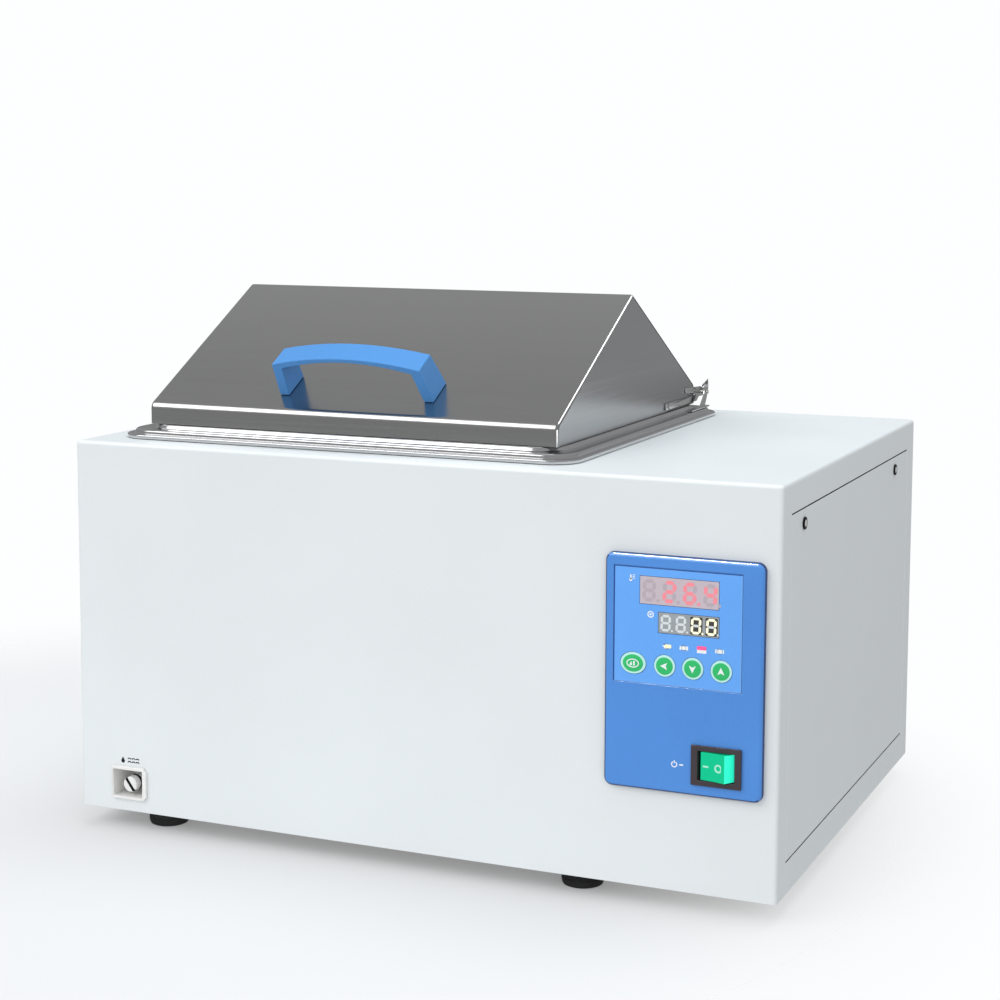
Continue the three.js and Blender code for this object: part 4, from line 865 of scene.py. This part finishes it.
def build_drain_surround(stem, stem_radius):
    """The white frame and the pocket behind it, with a hole for the stem."""
    low, high = span("drain_bezel")
    seat = -span("case_shell")[1].y - 0.3
    corner, wall, floor, play = 3.0, 1.2, 2.0, 0.7
    left, right, level = 1.4, 3.2, 2.3                  # how wide the frame is round the pocket's mouth
    x0, x1, z0, z1 = low.x + left, high.x - right, low.z + level, high.z - level
    frame_outline = filleted([
        (low.x, low.z, 0.5), (high.x - corner, low.z, 1.0), (high.x, low.z + corner, 1.0),
        (high.x, high.z - corner, 1.0), (high.x - corner, high.z, 1.0), (low.x, high.z, 0.5),
    ], steps=3)
    flange = prism("y", frame_outline, low.y, seat)
    soften(flange, 0.7, 3, 60, where=lambda edge: all(v.co.y < low.y + 0.01 for v in edge.verts))
    mouth = slab(x0, x1, z0, z1, 0.6, low.y - 2, seat + 2, 3)
    pocket = slab(x0 - wall, x1 + wall, z0 - wall, z1 + wall, 1.2, seat, high.y, 3)
    hollow = slab(x0, x1, z0, z1, 0.6, seat - 2, high.y - floor, 3)
    hole = rod("y", stem_radius + play, stem, high.y - 6, high.y + 2)
    bm = merged(carved(flange, mouth), carved(carved(pocket, hollow), hole))
    add_piece("drain_surround", bm, ["white_plastic"], "casing", ["drain_bezel"])


def build_bath():
    build_tank()
    build_shelf()
    refined("rim_gasket", "rim_seal", "rubber", 0.3)
    refined("tank_insulation", "insulation_wrap", "wool", 3.0, 3)
    build_tube("heating_element", "heater_tube", "bright_steel")
    refined("temperature_probe", "probe_sheath", "bright_steel", 0)
    for gland in GLANDS:
        refined(gland, gland.replace("gland", "fitting"), "brass", 0.3)
    build_drain()


# ---- Lid ----------------------------------------

SKIRT = 15.4                    # height of the lid's straight skirt
FOLD_RADIUS = 7.5
RIDGE_RADIUS = 3.2
GABLE_RADIUS = 2.6
HEM = 6.0


def build_lid_shell():
    """The folded lid: rounded folds along the slopes, tighter ones round the gables, and a turned-in hem."""
    low, high = span("lid_shell")
    fold = low.z + SKIRT
    corners = [
        (low.y, low.z, 0), (low.y, fold, FOLD_RADIUS), (0, high.z, RIDGE_RADIUS),
        (high.y, fold, FOLD_RADIUS), (high.y, low.z, 0),
    ]
    outline = filleted(corners, closed=False, steps=8)
    bm = prism("x", outline, low.x, high.x)
    ends = (low.x, high.x)
    soften(
        bm, GABLE_RADIUS, 4, 60,
        where=lambda edge: any(all(abs(v.co.x - x) < 0.01 for v in edge.verts) for x in ends)
        and any(v.co.z > low.z + 0.01 for v in edge.verts))
    floor = [face for face in bm.faces if face.normal.z < -0.99]
    bmesh.ops.delete(bm, geom=floor, context="FACES")
    centre = (low + high) / 2
    shrink = Vector((1 - (HEM + SHEET) / (high.x - centre.x), 1 - (HEM + SHEET) / (high.y - centre.y), 1))
    rim = [edge for edge in bm.edges if edge.is_boundary]
    hem = bmesh.ops.extrude_edge_only(bm, edges=rim)
    for vert in (item for item in hem["geom"] if isinstance(item, bmesh.types.BMVert)):
        vert.co.x = centre.x + (vert.co.x - centre.x) * shrink.x
        vert.co.y = centre.y + (vert.co.y - centre.y) * shrink.y
    bmesh.ops.recalc_face_normals(bm, faces=bm.faces)

    def on_slope(face):
        return face.calc_center_median().z > fold + 20 and abs(face.normal.z) > 0.5

    facing(bm, on_slope, Vector((0, 0, 1)))
    add_piece(
        "folded_lid", thickened(bm, SHEET), ["lid_steel", "gable_steel", "painted_shade_steel"], "lid", ["lid_shell"],
        look_of=lid_look)


def lid_look(face):
    """0 is a slope, 1 a gable, whose grain runs back to front, and 2 a gable's left or rear edge, painted
    dark as shade.
    """
    fold_starts, fold_ends, gable_starts, level = 0.25, 0.995, 0.8, 0.02
    normal = face.normal
    sideways = abs(normal.x)
    in_fold = fold_starts < sideways < fold_ends and normal.z > level
    if in_fold and (normal.x < 0 or normal.y > 0):
        return 2
    return int(sideways > gable_starts)


def build_lid():
    build_lid_shell()
    refined("lid_handle", "moulded_handle", "handle_blue", 0.7, 3)
    for side in ("left", "right"):
        refined(f"handle_screw_{side}", f"grip_screw_{side}", "zinc", 0.3)
    for side in ("left", "right"):
        refined(f"hinge_leaf_{side}", f"stop_leaf_{side}", "bright_steel", 0.25)
        refined(f"hinge_bracket_{side}", f"hinge_knuckle_{side}", "bright_steel", 0.25)
        refined(f"hinge_pin_{side}", f"headed_pin_{side}", "zinc", 0.3)


# ---- Control panel ----------------------------------------

SEGMENTS = {
    "0": "abcdef", "2": "abged", "4": "fgbc", "6": "afgedc", "8": "abcdefg", " ": "",
}


def segment_bars(x, z, width, height, stroke, lean):
    """The seven bars of one figure as outlines, by letter, about its middle."""
    gap = stroke * 0.12
    w, h = (width - stroke) / 2, (height - stroke) / 2
    half = stroke / 2

    def level(v):
        return [(-w + gap, v), (-w + gap + half, v + half), (w - gap - half, v + half),
                (w - gap, v), (w - gap - half, v - half), (-w + gap + half, v - half)]

    def upright(u, v0, v1):
        return [(u, v0 + gap), (u + half, v0 + gap + half), (u + half, v1 - gap - half),
                (u, v1 - gap), (u - half, v1 - gap - half), (u - half, v0 + gap + half)]

    bars = {
        "a": level(h), "g": level(0), "d": level(-h), "f": upright(-w, 0, h), "b": upright(w, 0, h),
        "e": upright(-w, -h, 0), "c": upright(w, -h, 0),
    }
    return {letter: [(x + u + lean * v, z + v) for u, v in bar] for letter, bar in bars.items()}


def build_display(kind, name, figures, size, masked=False):
    """A window with its figures in thin raised bars. Figures that aren't lit show all bars dim."""
    point_after, lean, sunk = 2, 0.04, 0.2
    node = f"{kind}_display"
    low, high = span(node)
    refined(node, name, f"{kind}_face", 0.25)
    width, height, stroke, first, pitch = size
    front, back, z = low.y - PRINT, low.y + sunk, (low.z + high.z) / 2
    lit, dim, masks = [], [], []
    for place, figure in enumerate(figures):
        x = low.x + first + place * pitch
        for letter, outline in segment_bars(x, z, width, height, stroke, lean).items():
            (lit if letter in SEGMENTS[figure] else dim).append(prism("y", outline, front, back))
        corner = (x + width / 2 + stroke * 0.55, z - height / 2 + stroke * 0.4)
        point = rod("y", stroke * 0.42, corner, front, back, 16)
        (lit if place == point_after else dim).append(point)
        if masked and figure != " ":
            left, right = x - width / 2 - 0.5, x + width / 2 + 0.9
            masks.append(slab(left, right, low.z + 0.9, high.z - 0.9, 0.8, low.y - PRINT / 3, back))
    add_piece(f"{name}_lit_bars", merged(*lit), [f"{kind}_lit"], "casing")
    add_piece(f"{name}_dim_bars", merged(*dim), [f"{kind}_dim"], "casing")
    if masks:
        add_piece(f"{name}_mask", merged(*masks), [f"{kind}_mask"], "casing")


def arrow(x, z, size, turn):
    """A notched arrowhead that points along an angle in degrees."""
    points = [(1.0, 0.0), (-0.75, 0.85), (-0.35, 0.0), (-0.75, -0.85)]
    c, s = math.cos(math.radians(turn)), math.sin(math.radians(turn))
    return [(x + size * (u * c - v * s), z + size * (u * s + v * c)) for u, v in points]


def key_symbol(node, x, z, front, back):
    """A round badge with a page and a bar for the set key, and an arrow for the others."""
    if node == "set_button":
        page = filleted([(x - 2.5, z - 1.5, 0.2), (x - 0.4, z - 1.5, 0.2), (x - 1.0, z + 1.6, 0.2)])
        bar = slab(x + 0.3, x + 1.5, z - 1.6, z + 1.6, 0.3, front, back)
        badge = ring("y", (x, z), 2.4, 3.1, front, back, stretch=1.45)
        return merged(badge, bar, prism("y", page, front, back))
    turn = {"shift_button": 180, "down_button": 270, "up_button": 90}[node]
    return prism("y", arrow(x, z, 2.9, turn), front, back)


def build_keys():
    """Domed keys, each with a pale ring round it and a printed symbol."""
    ring_width, shank, head = 1.5, 2.5, 3.7
    for node in ("set_button", "shift_button", "down_button", "up_button"):
        low, high = span(node)
        centre = middle(node)
        radius = (high.z - low.z) / 2
        stretch = (high.x - low.x) / (high.z - low.z)
        front = low.y
        rim = radius - ring_width
        profile = [
            (0, high.y), (shank, high.y), (shank, front + head), (radius, front + head),
            (radius, front + 0.95), (radius - 0.18, front + 0.6), (radius - 0.5, front + 0.5),
            (rim, front + 0.5), (rim - 0.25, front + 0.28), (rim - 1.2, front + 0.14),
            (rim - 2.9, front + 0.04), (0, front),
        ]
        bm = lathe("y", profile, (centre.x, centre.z), 56)
        for vert in bm.verts:
            if vert.co.y < front + head + 0.1:
                vert.co.x = centre.x + (vert.co.x - centre.x) * stretch

        def on_ring(face):
            point = face.calc_center_median()
            across = math.hypot((point.x - centre.x) / stretch, point.z - centre.z)
            return int(across > rim - 0.02)

        name = node.replace("button", "key")
        add_piece(f"domed_{name}", bm, ["key_green", "key_ring"], body_of(node), [node], look_of=on_ring)
        symbol = key_symbol(node, centre.x, centre.z, front - PRINT, front + 0.25)
        add_piece(f"{name}_symbol", symbol, ["white_ink"], body_of(node))


def thermometer(x, z, front, back):
    """A bulb, a stem and three ticks."""
    bulb = rod("y", 1.1, (x, z - 1.3), front, back, 20)
    stem = slab(x - 0.5, x + 0.5, z - 1.3, z + 2.3, 0.45, front, back)
    ticks = [
        slab(x + 1.3, x + 3.0, z + rise - 0.25, z + rise + 0.25, 0.2, front, back)
        for rise in (-0.2, 0.9, 2.0)
    ]
    return merged(bulb, stem, *ticks)


def build_panel_print():
    """Pictograms: a thermometer by the measured value, a target by the set one, and a mark at each lamp."""
    pv_low, pv_high = span("pv_display")
    sv_low, sv_high = span("sv_display")
    film = span("keypad_overlay")[0].y
    front, back = film - PRINT, film + 0.2
    target = (sv_low.x - 5.6, sv_high.z - 1.9)
    z, xs = middle("indicator_light_guide").z, lamp_places()
    shapes = [
        thermometer(pv_low.x - 6.6, pv_high.z - 1.8, front, back),
        ring("y", target, 1.5, 2.3, front, back),
        rod("y", 0.75, target, front, back, 16),
        prism("y", arrow(xs[0] - 1.2, z, 1.7, 35), front, back),
    ]
    half, gap, drop = 1.35, 0.45, 1.0
    for lamp, bars in ((1, (1.3, 2.2, 1.6)), (2, (6.6,)), (3, (1.0, 1.0, 1.8, 1.0))):
        left = xs[lamp] - (sum(bars) + gap * (len(bars) - 1)) / 2
        level = z - drop if lamp == 2 else z
        for width in bars:
            shapes.append(slab(left, left + width, level - half, level + half, 0.4, front, back))
            left += width + gap
    add_piece("panel_marks", merged(*shapes), ["white_ink"], "casing")


def lamp_places():
    """The middles of the four lamps, from the light guide's bar, which reaches past the end ones."""
    low, high = span("indicator_light_guide")
    reach = 4.0
    first, last = low.x + reach, high.x - reach
    return [first + (last - first) * i / 3 for i in range(4)]


def build_lamps():
    """Small lens caps: an amber one, and a lit red one."""
    height, corner, proud, sunk = 2.5, 0.7, 0.6, 0.3
    front = span("indicator_light_guide")[0].y
    z, xs = middle("indicator_light_guide").z, lamp_places()
    refined("indicator_light_guide", "light_guide", "white_plastic", 0)
    for name, look, x, rise, half in (
        ("amber_lens", "lamp_amber", xs[0] + 1.6, 0.2, 2.1), ("red_lens", "lamp_red", xs[2], 1.2, 3.3),
    ):
        low = z + rise - height / 2
        lens = soften(slab(x - half, x + half, low, low + height, corner, front - proud, front + sunk), 0.25)
        add_piece(name, lens, [look], "casing")


def build_switch():
    """The lit rocker in its frame with its raised dash and circle, and the power symbol beside it."""
    refined("switch_housing", "switch_frame", "black_plastic", 0.5, 3)
    rocker = soften(copied("rocker"), 0.45, 3)
    add_piece(
        "lit_rocker", rocker, ["rocker_green", "rocker_mint"], "power_rocker", ["rocker"],
        look_of=lambda face: int(face.normal.x > 0.6))
    joint = next(joint for joint in frame["joints"] if joint["name"] == "rocker_tilt")
    pivot = Vector(joint["pos_m"]) / MM
    face, tilt, depth = -8.75, -12, 0.6                 # from the pivot, on the rocker's lower facet
    dash = slab(-8.6, -3.1, -0.6, 0.6, 0.4, face - 0.1, face + depth)
    circle = ring("y", (4.3, 0), 1.7, 2.9, face - 0.02, face + depth)
    marks = merged(dash, circle)
    turn = Matrix.Translation(pivot) @ Matrix.Rotation(math.radians(tilt), 4, "Z")
    bmesh.ops.transform(marks, matrix=turn, verts=marks.verts)
    add_piece("rocker_marks", marks, ["mint_ink"], "power_rocker")
    low, high = span("switch_housing")
    bezel = span("control_bezel")[0].y
    x, z = low.x - 12.2, (low.z + high.z) / 2 - 1.5
    front, back = bezel - PRINT, bezel + 0.3
    symbol = merged(
        ring("y", (x, z), 1.5, 2.2, front, back, first=120, sweep=300),
        slab(x - 0.35, x + 0.35, z + 0.6, z + 2.9, 0.2, front, back),
        slab(x + 3.6, x + 6.4, z - 0.5, z + 0.5, 0.4, front, back),
    )
    add_piece("power_mark", symbol, ["white_ink"], "casing")


def build_bezel():
    """The moulded bezel, with painted shade on its edge and recess walls and on faces turned down or left.
    """
    bezel = soften(copied("control_bezel"), 0.3)

    # faces given painted shade: walls across the front, and chamfers turned down or to the left
    def on_edge(face):
        normal = face.normal
        turned_away = normal.z < -0.5 or normal.x < -0.5
        return int(abs(normal.y) < 0.35 or (turned_away and -0.8 < normal.y < 0))

    looks = ["panel_blue", "panel_painted_shade"]
    add_piece("moulded_bezel", bezel, looks, "casing", ["control_bezel"], look_of=on_edge)


def build_film_border():
    """Painted shade along the film's left and top, and a painted highlight along its right and bottom."""
    low, high = span("keypad_overlay")
    wide, fine, inset = 0.55, 0.35, 0.12
    front, back = low.y - PRINT, low.y + 0.2
    x0, x1, z0, z1 = low.x + inset, high.x - inset, low.z + inset, high.z - inset
    dark = [(x0, z0), (x0 + wide, z0), (x0 + wide, z1 - wide), (x1, z1 - wide), (x1, z1), (x0, z1)]
    pale = [
        (x0 + wide, z0), (x1, z0), (x1, z1 - wide), (x1 - fine, z1 - wide), (x1 - fine, z0 + fine),
        (x0 + wide, z0 + fine),
    ]
    add_piece("film_border", prism("y", dark, front, back), ["film_painted_shade"], "casing")
    add_piece("film_highlight", prism("y", pale, front, back), ["film_painted_highlight"], "casing")


def build_controls():
    build_bezel()
    refined("keypad_overlay", "keypad_film", "overlay_blue", 0.12, 1)
    build_film_border()
    build_display("pv", "measured_value", " 264", (9.6, 15.4, 2.7, 6.6, 14.4))
    build_display("sv", "set_value", "  00", (7.2, 11.4, 1.7, 5.2, 10.7), masked=True)
    build_panel_print()
    build_lamps()
    build_keys()
    build_switch()
    refined("controller_board", "controller_card", "board", 0.2)
    refined("solid_state_relay", "relay_block", "black_plastic", 0.6)
    refined("relay_heatsink", "finned_heatsink", "aluminium", 0.2)
    refined("transformer", "mains_transformer", "iron", 0.6)


# ---- Stage ----------------------------------------


def make_camera():
    """The camera stands in front, to the right and a little above, with a small shift."""
    place, yaw, pitch, roll = (0.6355, -1.5034, 0.5043), 0.4066, 0.1103, 0.0032
    forward = Vector((-math.sin(yaw) * math.cos(pitch), math.cos(yaw) * math.cos(pitch), -math.sin(pitch)))
    right = Vector((math.cos(yaw), math.sin(yaw), 0))
    up = right.cross(forward)
    x = right * math.cos(roll) + up * math.sin(roll)
    y = up * math.cos(roll) - right * math.sin(roll)
    turn = Matrix((x, y, -forward)).transposed().to_4x4()
    data = bpy.data.cameras.new("camera")
    data.lens, data.sensor_width, data.shift_y = 74.22, 36, -0.1
    data.clip_end = 50
    camera = bpy.data.objects.new("camera", data)
    camera.matrix_world = Matrix.Translation(place) @ turn
    bpy.context.scene.collection.objects.link(camera)
    bpy.context.scene.camera = camera


def softbox(name, place, target, size, power, glossy=True, color=(1, 1, 1), only=None):
    """A rectangular lamp with no outline of its own, or one that only shines back from a single piece."""
    data = bpy.data.lights.new(name, "AREA")
    data.shape = "RECTANGLE"
    data.size, data.size_y = size
    data.energy = power
    data.color = color
    light = bpy.data.objects.new(name, data)
    light.location = place
    light.rotation_euler = (Vector(target) - Vector(place)).to_track_quat("-Z", "Y").to_euler()
    light.visible_camera = False
    light.visible_glossy = glossy
    light.visible_diffuse = only is None
    bpy.context.scene.collection.objects.link(light)
    if only:
        receivers = bpy.data.collections.new(f"lit_by_{name}")
        receivers.objects.link(bpy.data.objects[only])
        light.light_linking.receiver_collection = receivers


def make_world():
    """A white surround to look at, a softer one for light, and a grey one for metal to mirror.

    What metal mirrors is paler overhead than at the horizon, with a black flag low at the back.
    """
    behind, around, horizon, overhead = 1.0, 0.60, 0.31, 0.37
    flag_heading, flag_edge, flag_black = Vector((-0.42, 0.90, -0.10)).normalized(), (0.962, 0.982), 0.05
    world = bpy.data.worlds.new("studio")
    world.use_nodes = True
    bpy.context.scene.world = world
    tree = world.node_tree
    rays = wired(tree, "LightPath").outputs
    heading = wired(tree, "TexCoord").outputs["Generated"]
    rise = wired(tree, "SeparateXYZ", {0: heading}).outputs["Z"]
    sky = wired(tree, "MapRange", {
        "Value": rise, "From Min": 0.05, "From Max": 0.7, "To Min": horizon, "To Max": overhead,
    })
    toward = wired(tree, "VectorMath", {0: heading, 1: flag_heading}, operation="DOT_PRODUCT")
    flag = wired(tree, "MapRange", {
        "Value": toward.outputs["Value"], "From Min": flag_edge[0], "From Max": flag_edge[1], "To Min": 1.0,
        "To Max": flag_black,
    })
    grey = wired(tree, "Math", {0: sky.outputs[0], 1: flag.outputs[0]}, operation="MULTIPLY")
    gloss = wired(tree, "Mix", {"Factor": rays["Is Glossy Ray"], "A": around, "B": grey.outputs[0]})
    seen = wired(tree, "Mix", {"Factor": rays["Is Camera Ray"], "A": gloss.outputs["Result"], "B": behind})
    background = tree.nodes["Background"]
    background.inputs["Color"].default_value = (0.985, 0.995, 1.0, 1)
    tree.links.new(seen.outputs["Result"], background.inputs["Strength"])


def make_floor():
    """A pale floor that fades into the surround."""
    radius, middle_of_fade, fade_start, fade_end = 4.0, (-0.25, -0.10, 0), 0.36, 0.72
    bm = bmesh.new()
    bmesh.ops.create_circle(bm, cap_ends=True, radius=radius, segments=96)
    mesh = bpy.data.meshes.new("floor")
    bm.to_mesh(mesh)
    bm.free()
    floor = bpy.data.objects.new("floor", mesh)
    bpy.context.scene.collection.objects.link(floor)
    material = bpy.data.materials.new("floor")
    material.use_nodes = True
    tree = material.node_tree
    bsdf = tree.nodes["Principled BSDF"]
    for socket, value in (
        ("Base Color", (0.565, 0.57, 0.575, 1)), ("Roughness", 0.75), ("Emission Color", (1, 1, 1, 1)),
        ("Emission Strength", 0.20),
    ):
        bsdf.inputs[socket].default_value = value
    clear = wired(tree, "BsdfTransparent")
    place = wired(tree, "TexCoord").outputs["Object"]
    away = wired(tree, "VectorMath", {0: place, 1: middle_of_fade}, operation="DISTANCE")
    fade = wired(
        tree, "MapRange", {"Value": away.outputs["Value"], "From Min": fade_start, "From Max": fade_end},
        interpolation_type="SMOOTHSTEP")
    mix = wired(tree, "MixShader", {"Fac": fade.outputs["Result"], 1: bsdf.outputs[0], 2: clear.outputs[0]})
    tree.links.new(mix.outputs[0], tree.nodes["Material Output"].inputs["Surface"])
    mesh.materials.append(material)
    floor.visible_glossy = False


def make_lamps():
    """Three soft lamps for the whole scene, and three that only draw glints along folds and an edge."""
    base = (0, 0, 0.2)
    softbox("key", (-2.8, -3.85, 4.2), base, (5.0, 3.4), 142)
    softbox("fill", (1.8, -3.0, 1.0), base, (2.0, 2.0), 24, glossy=False)
    softbox("top", (0.2, 0.3, 2.6), base, (2.0, 2.0), 37, glossy=False, color=(0.90, 0.95, 1.0))
    softbox("edge", (1.56, 1.23, 2.5), (0, 0, 0.35), (1.0, 1.0), 15, only="folded_lid")
    softbox("strip", (2.5, -1.1, 0.0), (0, 0, 0.3), (0.9, 1.3), 24, only="folded_lid")
    softbox("crest", (-0.71, -0.76, 3.05), (0.2, -0.2, 0.25), (1.3, 0.4), 95, only="moulded_bezel")


# ---- Scene ----------------------------------------

make_camera()
make_world()
make_floor()
make_looks()
build_casing()
build_bath()
build_lid()
build_controls()
make_lamps()
bpy.context.scene.view_settings.view_transform = "Standard"
